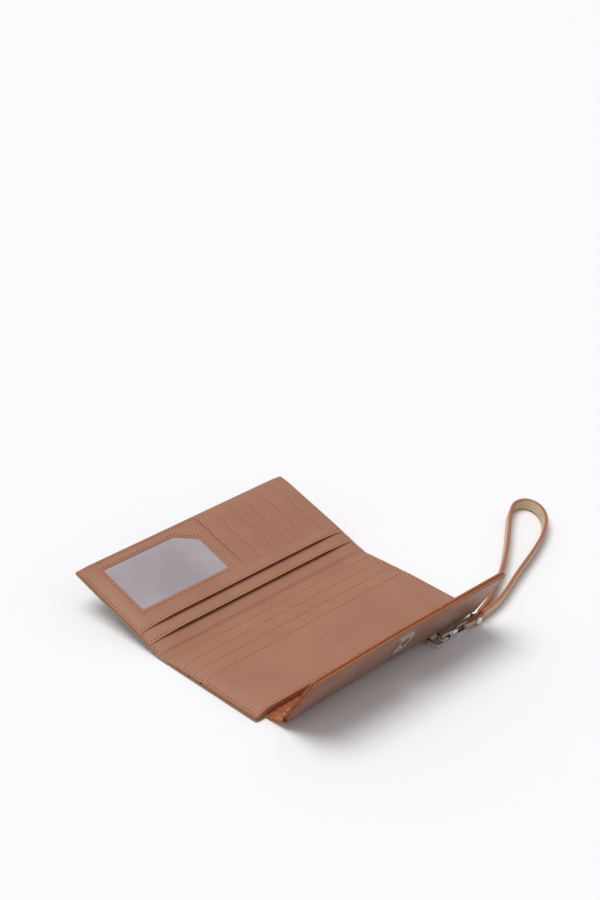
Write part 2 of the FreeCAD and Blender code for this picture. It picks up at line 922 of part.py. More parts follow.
# ---- swivel: a headed post in the hook's neck, with a rectangular eye ----
head_left = jaw_right - size("jaw_wall") - size("post_head_thick") - size("post_head_gap")
neck_end = jaw_right + size("neck_long")
post_head = cylinder(
    "post_head",
    "Dims.post_head_radius",
    "Dims.post_head_thick",
    at(head_left, chain_y, size("chain_high"), ALONG_X),
)
eye_left = neck_end + size("eye_gap")
post = cylinder(
    "post_rod",
    "Dims.post_radius",
    eye_left - head_left + size("eye_wall") / 2,
    at(head_left, chain_y, size("chain_high"), ALONG_X),
)
eye = ring_plate(
    "eye_ring",
    "Dims.eye_long",
    "Dims.eye_high",
    "Dims.eye_wall",
    "Dims.eye_thick",
    "Dims.eye_round",
    "Dims.eye_round_inside",
)
eye.Placement = at(
    eye_left, chain_y + size("eye_thick") / 2, size("chain_high") - size("eye_high") / 2, UPRIGHT
)
keep(fuse("swivel_solid", post_head, post, eye), "swivel_eye")

# ---- strap: folded loop through the eye, rivet, and the long strap itself ----
eye_bar = eye_left + size("eye_long") - size("eye_wall") / 2
loop_left = eye_bar - size("loop_thick") / 2
loop_end = loop_left + size("loop_long")
half_loop = size("loop_thick") / 2
strap_loop = new_body("strap_loop_whole")
loop_round = "(Dims.loop_thick / 2)"
pad(
    strap_loop,
    rectangle(
        new_sketch(strap_loop, "strap_loop_tail"),
        loop_round,
        0,
        "Dims.loop_long",
        "Dims.loop_thick",
    ),
    "Dims.loop_high",
)
pad(
    strap_loop,
    circle(new_sketch(strap_loop, "strap_loop_nose"), loop_round, loop_round, loop_round),
    "Dims.loop_high",
)
pocket(
    strap_loop,
    circle(
        new_sketch(strap_loop, "strap_loop_bar"),
        loop_round,
        loop_round,
        "Dims.eye_thick / 2 + Dims.eye_gap",
    ),
)
strap_loop.Placement = at(loop_left, chain_y - half_loop, size("chain_high") - size("loop_high") / 2)
rivet_x = loop_end - size("rivet_from_end")
rivet_hole = cylinder(
    "rivet_hole",
    "Dims.rivet_radius",
    "Dims.loop_thick",
    at(rivet_x, chain_y + half_loop, size("chain_high"), UPRIGHT),
)
keep(cut("strap_loop_cut", strap_loop, rivet_hole), "strap_loop")
rivet_parts = [
    cylinder(
        "rivet_rod",
        "Dims.rivet_radius",
        "Dims.loop_thick",
        at(rivet_x, chain_y + half_loop, size("chain_high"), UPRIGHT),
    )
]
for end, offset in (("front", -half_loop), ("back", half_loop + size("rivet_cap_thick"))):
    rivet_parts.append(
        cylinder(
            f"rivet_cap_{end}",
            "Dims.rivet_cap_radius",
            "Dims.rivet_cap_thick",
            at(rivet_x, chain_y + offset, size("chain_high"), UPRIGHT),
        )
    )
keep(fuse("rivet_solid", *rivet_parts), "strap_rivet")


def rounded_route(points):
    """Straight runs joined by tangent arcs; gives the wire and each arc's radius."""
    edges, radii = [], []
    start = points[0]
    for before, corner, after in zip(points, points[1:], points[2:]):
        back, on = before - corner, after - corner
        reach = ARC_SHARE * min(back.Length, on.Length)
        half_turn = (math.pi - back.getAngle(on)) / 2
        radii.append(reach / math.tan(half_turn))
        back.normalize()
        on.normalize()
        into, out = corner + back * reach, corner + on * reach
        middle = back + on
        middle.normalize()
        over = radii[-1] / math.cos(half_turn) - radii[-1]
        edges.append(Part.LineSegment(start, into).toShape())
        edges.append(Part.Arc(into, corner + middle * over, out).toShape())
        start = out
    edges.append(Part.LineSegment(start, points[-1]).toShape())
    return Part.Wire(edges), radii


leg_offset = (size("strap_thick") + size("strap_apart")) / 2
route = [(0.0, -leg_offset)] + STRAP_ROUTE + [(0.0, leg_offset)]
strap_wire, strap_radii = rounded_route(
    [Vector(loop_end + x, chain_y + y, size("strap_high")) for x, y in route]
)
half_thick, half_wide = size("strap_thick") / 2, size("strap_wide") / 2
run = (strap_wire.Edges[0].Vertexes[1].Point - strap_wire.Edges[0].Vertexes[0].Point).normalize()
side = Vector(-run.y, run.x, 0)
begin = strap_wire.Edges[0].Vertexes[0].Point
corners = [
    begin + side * (half_thick * a) + Vector(0, 0, half_wide * b)
    for a, b in ((-1, -1), (1, -1), (1, 1), (-1, 1), (-1, -1))
]
strap = doc.addObject("Part::Feature", "wrist_strap")
strap.Shape = strap_wire.makePipeShell([Part.makePolygon(corners)], True, False)
keep(strap, "wrist_strap")

doc.recompute()
for thing in doc.Objects:
    if "Invalid" in thing.State or "Error" in thing.State:
        raise RuntimeError(f"{thing.Name} is {thing.State}")
for node in nodes:
    if node.Shape.isNull() or not node.Shape.isValid():
        raise RuntimeError(f"{node.Label} has no valid shape")

os.makedirs("parts", exist_ok=True)
for node in nodes:
    node.Shape.exportStep(f"parts/{node.Label}.step")
print(len(nodes), "sub-parts")
print("strap length", round(strap_wire.Length, 1), "tightest bend", round(min(strap_radii), 1))
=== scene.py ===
import json
import math

import bmesh
import bpy
import numpy as np
from mathutils import Matrix, Vector


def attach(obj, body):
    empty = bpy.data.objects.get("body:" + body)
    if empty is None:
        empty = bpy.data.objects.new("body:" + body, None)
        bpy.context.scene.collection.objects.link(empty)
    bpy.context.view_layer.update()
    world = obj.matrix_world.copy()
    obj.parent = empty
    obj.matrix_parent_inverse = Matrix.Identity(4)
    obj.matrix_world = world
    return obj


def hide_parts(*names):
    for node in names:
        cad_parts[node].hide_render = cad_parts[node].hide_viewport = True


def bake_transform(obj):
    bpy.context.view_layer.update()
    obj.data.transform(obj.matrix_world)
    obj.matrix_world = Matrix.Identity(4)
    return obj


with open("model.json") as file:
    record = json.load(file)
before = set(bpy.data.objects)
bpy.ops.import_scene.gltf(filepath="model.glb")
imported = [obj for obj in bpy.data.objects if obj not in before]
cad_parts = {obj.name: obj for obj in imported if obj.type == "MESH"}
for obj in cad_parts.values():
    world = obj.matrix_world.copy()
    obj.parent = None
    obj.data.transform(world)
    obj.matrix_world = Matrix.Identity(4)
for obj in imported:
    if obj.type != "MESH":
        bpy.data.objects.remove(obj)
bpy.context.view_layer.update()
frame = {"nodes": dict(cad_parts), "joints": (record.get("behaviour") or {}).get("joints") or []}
hinges = {joint["name"]: joint for joint in frame["joints"]}

# ---- Camera, floor and lights ----
# A wide pale table under one broad lamp, nearly overhead, and an even white room.
scene = bpy.context.scene
scene.view_settings.view_transform = "Standard"

camera = bpy.data.objects.new("camera", bpy.data.cameras.new("camera"))
camera.data.lens = 75.94
camera.data.sensor_width = 36.0
camera.location = (-0.7478, -0.7658, 0.7382)
camera.rotation_euler = (math.radians(60.95), 0.0, math.radians(-43.67))
scene.collection.objects.link(camera)
scene.camera = camera

TABLE_HALF = 6.0
table_mesh = bpy.data.meshes.new("table")
table_corners = [(x * TABLE_HALF, y * TABLE_HALF, 0.0) for x, y in ((-1, -1), (1, -1), (1, 1), (-1, 1))]
table_mesh.from_pydata(table_corners, [], [(0, 1, 2, 3)])
table = bpy.data.objects.new("table", table_mesh)
scene.collection.objects.link(table)

lamp = bpy.data.objects.new("lamp", bpy.data.lights.new("lamp", "SUN"))
lamp.data.energy = 2.0
lamp.data.angle = math.radians(42)
lamp.rotation_euler = (math.radians(-13), math.radians(-9), 0.0)
scene.collection.objects.link(lamp)

room = bpy.data.worlds.new("room")
room.use_nodes = True
room.node_tree.nodes["Background"].inputs["Color"].default_value = (0.98, 0.98, 1.0, 1.0)
room.node_tree.nodes["Background"].inputs["Strength"].default_value = 0.54
scene.world = room


class Wire:
    """One output of a finish's node, with arithmetic that adds Math nodes."""

    def __init__(self, finish, socket):
        self.finish = finish
        self.socket = socket

    def work(self, operation, *values):
        return self.finish.node("ShaderNodeMath", {"operation": operation}, dict(enumerate(values)))

    def __add__(self, other):
        return self.work("ADD", self, other)

    __radd__ = __add__

    def __mul__(self, other):
        return self.work("MULTIPLY", self, other)

    __rmul__ = __mul__

    def __sub__(self, other):
        return self.work("SUBTRACT", self, other)

    def __rsub__(self, other):
        return self.work("SUBTRACT", other, self)

    def __abs__(self):
        return self.work("ABSOLUTE", self)

    def ramp(self, low, high):
        """0 below low, 1 above high, smooth between."""
        return self.finish.node(
            "ShaderNodeMapRange",
            {"interpolation_type": "SMOOTHSTEP"},
            {"Value": self, "From Min": low, "From Max": high},
        )


class Finish:
    """A procedural material: node() adds any node, the shader's constants go on its own sockets."""

    def __init__(self, name, **constants):
        self.material = bpy.data.materials.new(name)
        self.material.use_nodes = True
        self.tree = self.material.node_tree
        self.shader = self.tree.nodes["Principled BSDF"]
        for socket, value in constants.items():
            self.shader.inputs[socket.replace("_", " ")].default_value = value
        self.place = self.node("ShaderNodeTexCoord", out="Object")

    def node(self, kind, settings=None, sockets=None, out=0):
        made = self.tree.nodes.new(kind)
        for name, value in (settings or {}).items():
            setattr(made, name, value)
        for name, value in (sockets or {}).items():
            self.join(made.inputs[name], value)
        return Wire(self, made.outputs[out])

    def join(self, socket, value):
        if isinstance(value, Wire):
            self.tree.links.new(value.socket, socket)
        else:
            socket.default_value = value

    def mix(self, factor, first, second):
        """A colour between two colours."""
        made = self.tree.nodes.new("ShaderNodeMix")
        made.data_type = "RGBA"
        for socket, value in zip((made.inputs[0], made.inputs[6], made.inputs[7]), (factor, first, second)):
            self.join(socket, value)
        return Wire(self, made.outputs[2])

    def cloud(self, scale, detail=2.0):
        return self.node("ShaderNodeTexNoise", {}, {"Vector": self.place, "Scale": scale, "Detail": detail})

    def pebble(self, scale, feature="F1"):
        cells = {"Vector": self.place, "Scale": scale}
        return self.node("ShaderNodeTexVoronoi", {"feature": feature}, cells)

    def mark(self, name):
        return self.node("ShaderNodeAttribute", {"attribute_name": name}, out="Fac")

    def bump(self, height, strength, distance):
        relief = {"Height": height, "Strength": strength, "Distance": distance}
        return self.node("ShaderNodeBump", {}, relief)

    def give(self, **links):
        for socket, value in links.items():
            self.join(self.shader.inputs[socket.replace("_", " ")], value)
        return self.material


def paint(red, green, blue):
    """A linear colour from the three numbers of a paint card, 0 to 255."""
    shares = [c / 255 for c in (red, green, blue)]
    return tuple(((share + 0.055) / 1.055) ** 2.4 for share in shares) + (1.0,)


table_finish = Finish("table_finish", Roughness=0.9)
table_mesh.materials.append(
    table_finish.give(
        Base_Color=table_finish.mix(table_finish.cloud(3.0), (0.84, 0.84, 0.85, 1), (0.85, 0.85, 0.86, 1))
    )
)

# ---- Wrist strap ----
# A flat strap cut from khaki leather, two layers glued back to back, edges painted brown. It leaves the
# loop as two legs side by side, stands on its edge and goes round in one long narrow bow.
STRAP_WIDE = 9.0
STRAP_THICK = 2.6
STRAP_HIGH = 4.8
STRAP_ROUTE = [
    (92.0, -66.65),
    (108.0, -65.2),
    (124.0, -60.0),
    (148.0, -50.0),
    (175.0, -40.5),
    (200.0, -30.0),
    (220.0, -17.5),
    (231.0, -2.0),
    (231.0, 11.0),
    (221.0, 15.5),
    (208.0, 8.5),
    (190.0, -6.0),
    (168.0, -23.0),
    (147.0, -37.5),
    (127.0, -49.0),
    (110.0, -58.0),
    (92.0, -63.75),
]
MM = 0.001


def smooth(t):
    t = min(max(t, 0.0), 1.0)
    return t * t * (3 - 2 * t)


def strap_line(points):
    """Points along the smooth line that a strap's route gives, in millimetres."""
    curve = bpy.data.curves.new("strap_line", "CURVE")
    curve.dimensions = "3D"
    curve.resolution_u = 16
    spline = curve.splines.new("NURBS")
    spline.points.add(len(points) - 1)
    for point, (x, y, z) in zip(spline.points, points):
        point.co = (x * MM, y * MM, z * MM, 1.0)
    spline.order_u = 3
    spline.use_endpoint_u = True
    thing = bpy.data.objects.new("strap_line", curve)
    scene.collection.objects.link(thing)
    bpy.context.view_layer.update()
    line = bpy.data.meshes.new_from_object(thing)
    places = [vertex.co / MM for vertex in line.vertices]
    bpy.data.objects.remove(thing)
    return places


def new_piece(name, points, faces, marks, finish):
    """A mesh piece from points in millimetres, with each point's marks kept for the finish."""
    mesh = bpy.data.meshes.new(name)
    mesh.from_pydata([tuple(c * MM for c in point) for point in points], [], faces)
    mesh.validate()
    for mark, values in marks.items():
        attribute = mesh.attributes.new(mark, "FLOAT", "POINT")
        attribute.data.foreach_set("value", np.array(values, np.float32))
    mesh.polygons.foreach_set("use_smooth", [True] * len(mesh.polygons))
    mesh.materials.append(finish)
    piece = bpy.data.objects.new(name, mesh)
    scene.collection.objects.link(piece)
    return piece


def ribbon(name, line, thick, high, finish, upright):
    """A strap standing on its edge along a line: flat faces, rounded painted edges, and its upper edge
    leaning the way that upright points."""
    corner = thick * 0.36
    section = []
    for side_x, side_z, start in ((1, 1, 0), (-1, 1, 90), (-1, -1, 180), (1, -1, 270)):
        for step in range(5):
            turn = math.radians(start + 90 * step / 4)
            across = side_x * (thick / 2 - corner) + corner * math.cos(turn)
            upward = side_z * (high / 2 - corner) + corner * math.sin(turn)
            section.append((across, upward))
    points, faces, edge = [], [], []
    count = len(section)
    for k, here in enumerate(line):
        ahead = (line[min(k + 1, len(line) - 1)] - line[max(k - 1, 0)]).normalized()
        up = (upright - ahead * upright.dot(ahead)).normalized()
        side = ahead.cross(up)
        for a, b in section:
            points.append(here + side * a + up * b)
            edge.append(smooth((abs(b) - (high / 2 - corner * 1.25)) / (corner * 0.6)))
    for k in range(len(line) - 1):
        for j in range(count):
            a, b = k * count + j, k * count + (j + 1) % count
            faces.append((a, b, b + count, a + count))
    faces.append(tuple(range(count))[::-1])
    faces.append(tuple(range(len(points) - count, len(points))))
    return new_piece(name, points, faces, {"edge": edge}, finish)


def khaki_leather(name, face, deep, edge, grain=1500.0):
    """Printed khaki leather with a fine cross grain, and brown paint where the edge mark is."""
    finish = Finish(name, Roughness=0.5)
    patch = finish.cloud(60.0, 3.0)
    weave = finish.pebble(grain)
    rim = finish.mark("edge")
    colour = finish.mix(patch.ramp(0.3, 0.7) * 0.4, face, deep)
    colour = finish.mix(weave.ramp(0.25, 0.75) * 0.45, colour, deep)
    colour = finish.mix(rim.ramp(0.4, 0.6), colour, edge)
    return finish.give(
        Base_Color=colour,
        Roughness=0.5 + patch * 0.2 - rim * 0.12,
        Normal=finish.bump(weave * (1 - rim * 0.8) + patch * 0.5, 0.5, 0.00025),
    )


strap_finish = khaki_leather("strap_khaki", paint(206, 188, 156), paint(178, 156, 122), paint(168, 100, 70))
STRAP_UPRIGHT = Vector((0.2, -0.2, 1.0))
strap_path = strap_line([(x, y, STRAP_HIGH) for x, y in STRAP_ROUTE])
strap = ribbon("strap_leather", strap_path, STRAP_THICK, STRAP_WIDE, strap_finish, STRAP_UPRIGHT)
strap_long = sum((b - a).length for a, b in zip(strap_path, strap_path[1:]))
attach(strap, "swivel")
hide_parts("wrist_strap")

# The strap's two ends are cut narrower, folded round the bar of the swivel eye and riveted together.
LOOP_HIGH = 4.6
LOOP_THICK = 1.9
loop_line = [
    Vector(point)
    for point in (
        (95.5, -66.7, 4.4),
        (92.0, -66.9, 4.1),
        (88.0, -67.0, 3.7),
        (84.0, -66.95, 3.7),
        (80.5, -66.85, 3.7),
        (78.2, -66.7, 3.7),
        (77.1, -66.0, 3.7),
        (76.75, -65.2, 3.7),
        (77.1, -64.4, 3.7),
        (78.2, -63.7, 3.7),
        (80.5, -63.55, 3.7),
        (84.0, -63.45, 3.7),
        (88.0, -63.4, 3.7),
        (92.0, -63.5, 4.1),
        (95.5, -63.3, 4.4),
    )
]
loop = ribbon("strap_fold", loop_line, LOOP_THICK, LOOP_HIGH, strap_finish, Vector((0, 0, 1)))
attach(loop, "swivel")
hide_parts("strap_loop")
[tuple(c * MM for c in point) for point in strap_path]

# ---- Ring, swivel hook, rivet and turn lock ----
# Cast zinc with a polished bright coat. The hook's gate, its pin and the lock's inner plates are drawn
# steel.
def polished_metal(name, colour, rough):
    finish = Finish(name, Metallic=1.0)
    haze = finish.cloud(420.0, 4.0)
    rubbed = finish.cloud(2600.0, 2.0)
    return finish.give(
        Base_Color=finish.mix(haze.ramp(0.3, 0.8), colour, tuple(c * 0.82 for c in colour[:3]) + (1,)),
        Roughness=rough + haze * 0.12,
        Normal=finish.bump(rubbed, 0.08, 0.00002),
    )


bright_metal = polished_metal("bright_metal", (0.9, 0.89, 0.86, 1), 0.2)
drawn_steel = polished_metal("drawn_steel", (0.62, 0.62, 0.62, 1), 0.24)
CAST_NODES = "strap_ring hook_body swivel_eye strap_rivet lock_plate lock_base lock_knob"
DRAWN_NODES = "hook_gate gate_pin lock_backplate lock_washer"
for names, metal in ((CAST_NODES, bright_metal), (DRAWN_NODES, drawn_steel)):
    for name in names.split():
        frame["nodes"][name].data.materials.clear()
        frame["nodes"][name].data.materials.append(metal)

# ---- Card panel: the shell ----
# The outside of the wallet is a khaki leather cover, 1.4 mm thick. Its cut edge shows all round the
# lining.
LONG = 195.0
DEEP = 88.8
CORNER = 2.5
SHELL_THICK = 1.4
TURN_ROWS = 6       # faces round a sheet's edge, from its upper face to its lower one
RIM_WIDE = 1.6      # how far in from the edge its warmer colour fades
MITRE_LEAST = 0.35  # keeps the offset of a sharp corner from running out


def rounded(corners, radius=0.0, steps=4):
    """A closed outline with every corner rounded; a corner may carry its own radius as a third number."""
    made = []
    count = len(corners)
    for k in range(count):
        here = Vector(corners[k][:2])
        r = corners[k][2] if len(corners[k]) > 2 else radius
        back = (Vector(corners[k - 1][:2]) - here).normalized() * r
        ahead = (Vector(corners[(k + 1) % count][:2]) - here).normalized() * r
        if r <= 0:
            made.append(tuple(here))
            continue
        for step in range(steps + 1):
            t = step / steps
            made.append(tuple(here + back * (1 - t) ** 2 + ahead * t * t))
    return made


def oblong(left, right, near, far, near_round, far_round=None):
    """A four-sided outline whose near and far corners may be rounded differently."""
    far_round = near_round if far_round is None else far_round
    near_corners = [(left, near, near_round), (right, near, near_round)]
    far_corners = [(right, far, far_round), (left, far, far_round)]
    return rounded(near_corners + far_corners)


def moved_in(ring, inward):
    """A closed outline moved towards its own material by a distance."""
    made = []
    for k in range(len(ring)):
        before, here, after = (Vector(ring[j % len(ring)]) for j in (k - 1, k, k + 1))
        one, two = (here - before).normalized(), (after - here).normalized()
        n1, n2 = Vector((-one.y, one.x)), Vector((-two.y, two.x))
        made.append(tuple(here + (n1 + n2) / max(1 + n1.dot(n2), MITRE_LEAST) * inward))
    return made


def flat_plan(outline, holes, rows, step, turn):
    """A sheet's flat plan without its rounded edge, crossed by even lines of points and by the rows."""
    bm = bmesh.new()
    sides = []
    for ring in (outline, *holes):
        points = [bm.verts.new((x, y, 0)) for x, y in moved_in(ring, turn)]
        sides += [bm.edges.new((points[k - 1], points[k])) for k in range(len(points))]
    if holes:
        bmesh.ops.triangle_fill(bm, use_beauty=True, edges=sides)
    else:
        bm.faces.new(points)
    low, high = np.min(outline, axis=0), np.max(outline, axis=0)
    for axis, extra in enumerate(rows):
        direction = [float(k == axis) for k in range(3)]
        even = np.arange(low[axis] + step, high[axis] - step / 2, step)
        for line in sorted([*even, *extra]):
            if low[axis] + turn < line < high[axis] - turn:
                where = [line * share for share in direction]
                geometry = bm.verts[:] + bm.edges[:] + bm.faces[:]
                bmesh.ops.bisect_plane(bm, geom=geometry, dist=0.02, plane_co=where, plane_no=direction)
    bmesh.ops.remove_doubles(bm, verts=bm.verts[:], dist=0.01)
    bm.normal_update()
    bmesh.ops.reverse_faces(bm, faces=[face for face in bm.faces if face.normal.z < 0])
    bm.verts.index_update()
    bm.verts.ensure_lookup_table()
    return bm


def plan_border(bm, plan):
    """The plan's border edges, and at each of their points the way out of the sheet."""
    borders, outward = [], {}
    for edge in bm.edges:
        if edge.is_boundary:
            corner = edge.link_loops[0]
            a, b = corner.vert.index, corner.link_loop_next.vert.index
            borders.append((a, b))
            side = Vector((plan[b][1] - plan[a][1], plan[a][0] - plan[b][0])).normalized()
            outward.setdefault(a, []).append(side)
            outward.setdefault(b, []).append(side)
    pushes = {}
    for v, normals in outward.items():
        n1, n2 = normals[0], normals[-1]
        pushes[v] = (n1 + n2) / max(1 + n1.dot(n2), MITRE_LEAST)
    return borders, pushes


def rim_marks(plan, borders):
    """1 at the sheet's border, fading to 0 across the rim."""
    flat = np.array(plan)
    away = np.full(len(plan), 1e9)
    for a, b in borders:
        p, d = flat[a], flat[b] - flat[a]
        t = np.clip(((flat - p) @ d) / max(d @ d, 1e-9), 0, 1)
        away = np.minimum(away, np.linalg.norm(flat - p - t[:, None] * d, axis=1))
    return list(np.clip(1 - away / RIM_WIDE, 0, 1))


def cut_leather(
    name, outline, under, over, place, finish, holes=(), rows_x=(), rows_y=(), step=3.0, turn=0.4, warp=None
):
    """A sheet of leather with a rounded edge all round: outline in its own plane, and the heights of its
    two faces over that plane. rows_x and rows_y add finer lines of points, as along a seam."""
    bm = flat_plan(outline, holes, (rows_x, rows_y), step, turn)
    count = len(bm.verts)
    plan = [(v.co.x, v.co.y) for v in bm.verts]
    points = [(x, y, over(x, y)) for x, y in plan] + [(x, y, under(x, y)) for x, y in plan]
    faces = []
    for face in bm.faces:
        ring = [v.index for v in face.verts]
        faces.append(tuple(ring))
        faces.append(tuple(count + v for v in reversed(ring)))
    borders, pushes = plan_border(bm, plan)
    bm.free()
    ladders = {}
    for v, push in pushes.items():
        top, bottom = points[v][2], points[count + v][2]
        ladders[v] = [v]
        for row in range(1, TURN_ROWS):
            angle = math.pi / 2 - math.pi * row / TURN_ROWS
            reach = turn * math.cos(angle)
            z = (top + bottom) / 2 + (top - bottom) / 2 * math.sin(angle)
            ladders[v].append(len(points))
            points.append((plan[v][0] + push.x * reach, plan[v][1] + push.y * reach, z))
        ladders[v].append(count + v)
    for a, b in borders:
        for row in range(TURN_ROWS):
            faces.append((ladders[b][row], ladders[a][row], ladders[a][row + 1], ladders[b][row + 1]))
    rim = rim_marks(plan, borders)
    edge = rim + rim + [1.0] * (len(points) - 2 * count)
    solid = [place @ Vector(point) for point in points]
    if warp:
        solid = [warp(point) for point in solid]
    return new_piece(name, solid, faces, {"edge": edge}, finish)


def ends_pressed(x, left_over):
    """How much of its full height a stack of leather keeps towards its sewn left and right ends."""
    return left_over + (1 - left_over) * smooth((LONG / 2 - abs(x)) / 13.0)


def back_press(x, y):
    return ends_pressed(x, 0.64) * (1 + 0.012 * math.sin(x / 23 + 1.3) * math.sin(y / 17 + 0.4))


shell_finish = khaki_leather(
    "shell_khaki", paint(158, 140, 110), paint(132, 113, 86), paint(134, 112, 82), 900.0
)
flat_back = Matrix.Identity(4)
half_long, half_deep = LONG / 2, DEEP / 2
shell_rows = [side * (half_long - inward) for side in (-1, 1) for inward in (3.5, 7.5, 11.5)]
shell_back = cut_leather(
    "shell_back_leather",
    oblong(-half_long, half_long, -half_deep, half_deep, CORNER, 0.3),
    lambda x, y: 0.0,
    lambda x, y: SHELL_THICK * back_press(x, y),
    flat_back,
    shell_finish,
    step=6.0,
    rows_x=shell_rows,
    turn=0.5,
)
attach(shell_back, "back")
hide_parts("shell_back")

# ---- Card panel: lining, full-width pocket and three card rows ----
# Brown calf, skived thin and turned over at each top edge, sewn about 2 mm below it. The pieces lie one on
# another and the uppermost is turned down over the sides. A board stiffens the lining.
BROWN = paint(158, 111, 88)
BROWN_DEEP = paint(152, 105, 82)
BROWN_EDGE = paint(162, 108, 78)


def calf_leather(name, face, deep, edge, grain=1700.0, rough=0.47, relief=0.22, extra=None):
    """Smooth calf: a fine pebble, soft cloudy colour, and a warmer turned edge."""
    finish = Finish(name, Roughness=rough, Sheen_Weight=0.0, Specular_IOR_Level=0.4)
    patch = finish.cloud(34.0, 4.0)
    pores = finish.pebble(grain)
    fine = finish.cloud(grain * 0.8, 3.0)
    rim = finish.mark("edge")
    colour = finish.mix(patch.ramp(0.32, 0.7), face, deep)
    colour = finish.mix(pores.ramp(0.3, 0.8) * 0.2, colour, deep)
    colour = finish.mix(rim.ramp(0.45, 0.9) * 0.8, colour, edge)
    height = pores * 0.7 + fine * 0.5
    if extra:
        groove = extra(finish)
        height = height - groove * 6.0
        # the pressed lines are darkened with painted shade, as well as sunk in the bump
        colour = finish.mix(groove * 0.3, colour, tuple(c * 0.45 for c in deep[:3]) + (1.0,))
    return finish.give(
        Base_Color=colour,
        Roughness=rough + (patch - 0.5) * 0.12 + pores * 0.08,
        Normal=finish.bump(height, relief, 0.00012),
    )


def blind_stamp(finish):
    """1 along the lines of two diamonds, one in the other, pressed lightly into the leather; calf_leather
    also darkens them with painted shade.
    """
    middle = finish.node(
        "ShaderNodeMapping",
        {"vector_type": "POINT"},
        {"Vector": finish.place, "Location": (-0.053, 0.020, 0.0)},
    )
    parts = finish.tree.nodes.new("ShaderNodeSeparateXYZ")
    finish.join(parts.inputs[0], middle)
    x, y = Wire(finish, parts.outputs[0]), Wire(finish, parts.outputs[1])
    reach = abs(x) + abs(y)
    outer, inner = (1 - abs(reach - size).ramp(0.0001, 0.00055) for size in (0.0064, 0.0038))
    return outer + inner


calf = calf_leather("brown_calf", BROWN, BROWN_DEEP, BROWN_EDGE)
stamped_calf = calf_leather("brown_calf_stamped", BROWN, BROWN_DEEP, BROWN_EDGE, extra=blind_stamp)

BORDER = 0.9        # the shell shows this far outside the lining
COVERED = 1.5       # a covered sheet stops this much shorter
JOG = 1.2           # it narrows this far past the edge of the sheet that covers it
JOG_DEEP = 0.8      # over this length
SIDE_SEAM = 3.0     # border stitching from the shell's edge
HEM_RISE = 0.16     # a turned hem stands this much proud
LEAST_THICK = 0.25  # the thinnest that a pocket's leather gets
EDGE_DENT = 0.3     # how far the border stitching pulls down
SEAM_ROWS = (-1.3, -0.8, -0.4, 0.0, 0.4, 0.8, 1.3)    # lines of points across a seam's dent
END_ROWS = (5.5, 7.5, 9.0)     # and in from the ends, where the stack thins
PANEL_ROWS = [      # each front's name, its top edge, and its lower and upper face
    ("full_pocket", 43.6, 3.0, 3.8),
    ("card_row_rear", 33.0, 3.8, 4.6),
    ("card_row_middle", 21.4, 4.6, 5.4),
    ("card_row_front", 9.8, 5.4, 6.2),
]
PANEL_SEAMS = (42.0, 30.9, 19.5, 7.7)
DIVIDER_X = 0.0


def dent(distance, deep=0.24, wide=0.75):
    """How far a row of stitches pulls the leather down, this far from it."""
    return deep * math.exp(-((distance / wide) ** 2))


side_x = half_long - BORDER
front_y = -half_deep + BORDER
back_lining = cut_leather(
    "back_lining_leather",
    oblong(-side_x + COVERED, side_x - COVERED, front_y + COVERED, half_deep, 1.0, 0.2),
    lambda x, y: 1.42 * back_press(x, y),
    lambda x, y: 2.98 * back_press(x, y),
    flat_back,
    calf,
    step=8.0,
    turn=0.5,
)
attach(back_lining, "back")
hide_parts("back_lining", "back_board")


def seam_lines(*seams):
    """Close lines of points across each seam, so that its dent shows."""
    return [seam + row for seam in seams for row in SEAM_ROWS]


def end_lines(*inward):
    """Lines of points along the side seams and across the ends."""
    ends = [side * (half_long - d) for side in (-1, 1) for d in (*inward, *END_ROWS)]
    return ends + seam_lines(-half_long + SIDE_SEAM, half_long - SIDE_SEAM)


def stepped_outline(mouth, jog, hidden):
    """A pocket front, full width at its mouth and narrower past the jog, where the next front covers it."""
    inner = side_x - COVERED
    beside = jog + math.copysign(JOG_DEEP, mouth - jog)
    half = [(inner, hidden, 1.0), (inner, jog, 0.0), (side_x, beside, 0.0), (side_x, mouth, 0.6)]
    half.sort(key=lambda corner: corner[1])
    other_half = [(-x, y, corner_round) for x, y, corner_round in reversed(half)]
    return rounded(other_half[-1:] + half + other_half[:-1])


def panel_sheet(number):
    """One pocket front of the card panel."""
    name, edge, low, high = PANEL_ROWS[number]
    next_edge = PANEL_ROWS[number + 1][1] if number + 1 < len(PANEL_ROWS) else None
    seam = PANEL_SEAMS[number]

    def over(x, y):
        z = high * back_press(x, y)
        z -= dent(abs(y - seam))
        z -= dent(abs(abs(x) - (half_long - SIDE_SEAM)), EDGE_DENT)
        if next_edge is None:
            z -= dent(abs(y - (-half_deep + SIDE_SEAM)), EDGE_DENT)
        if y < PANEL_SEAMS[1]:
            z -= dent(abs(x - DIVIDER_X), 0.22)
        z += HEM_RISE * smooth((y - seam) / 0.8) * smooth((half_long - abs(x) - 6) / 10)
        return z

    def under(x, y):
        z = (low + 0.02) * back_press(x, y)
        wrap = min(side_x - abs(x), y - front_y)
        exposed = next_edge is None or y > next_edge + 0.4
        if exposed and wrap < COVERED - 0.1:
            z = 1.43 * back_press(x, y)
        return min(z, over(x, y) - LEAST_THICK)

    rows_y = [edge - 0.5, *seam_lines(seam)]
    if next_edge is None:
        outline = oblong(-side_x, side_x, front_y, edge, 2.0, 0.6)
        rows_y += seam_lines(-half_deep + SIDE_SEAM)
    else:
        outline = stepped_outline(edge, next_edge - JOG, front_y + COVERED)
    sheet = cut_leather(
        name + "_leather",
        outline,
        under,
        over,
        flat_back,
        stamped_calf if next_edge is None else calf,
        rows_x=seam_lines(DIVIDER_X) + end_lines(2.2),
        rows_y=rows_y,
        turn=0.42,
    )
    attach(sheet, "back")
    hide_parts(name)
    return over


panel_tops = [panel_sheet(number) for number in range(len(PANEL_ROWS))]


def panel_top(x, y):
    """The height of the card panel's uppermost leather."""
    top = 0
    for number, (name, edge, low, high) in enumerate(PANEL_ROWS):
        if y < edge - 0.3:
            top = number
    return panel_tops[top](x, y)
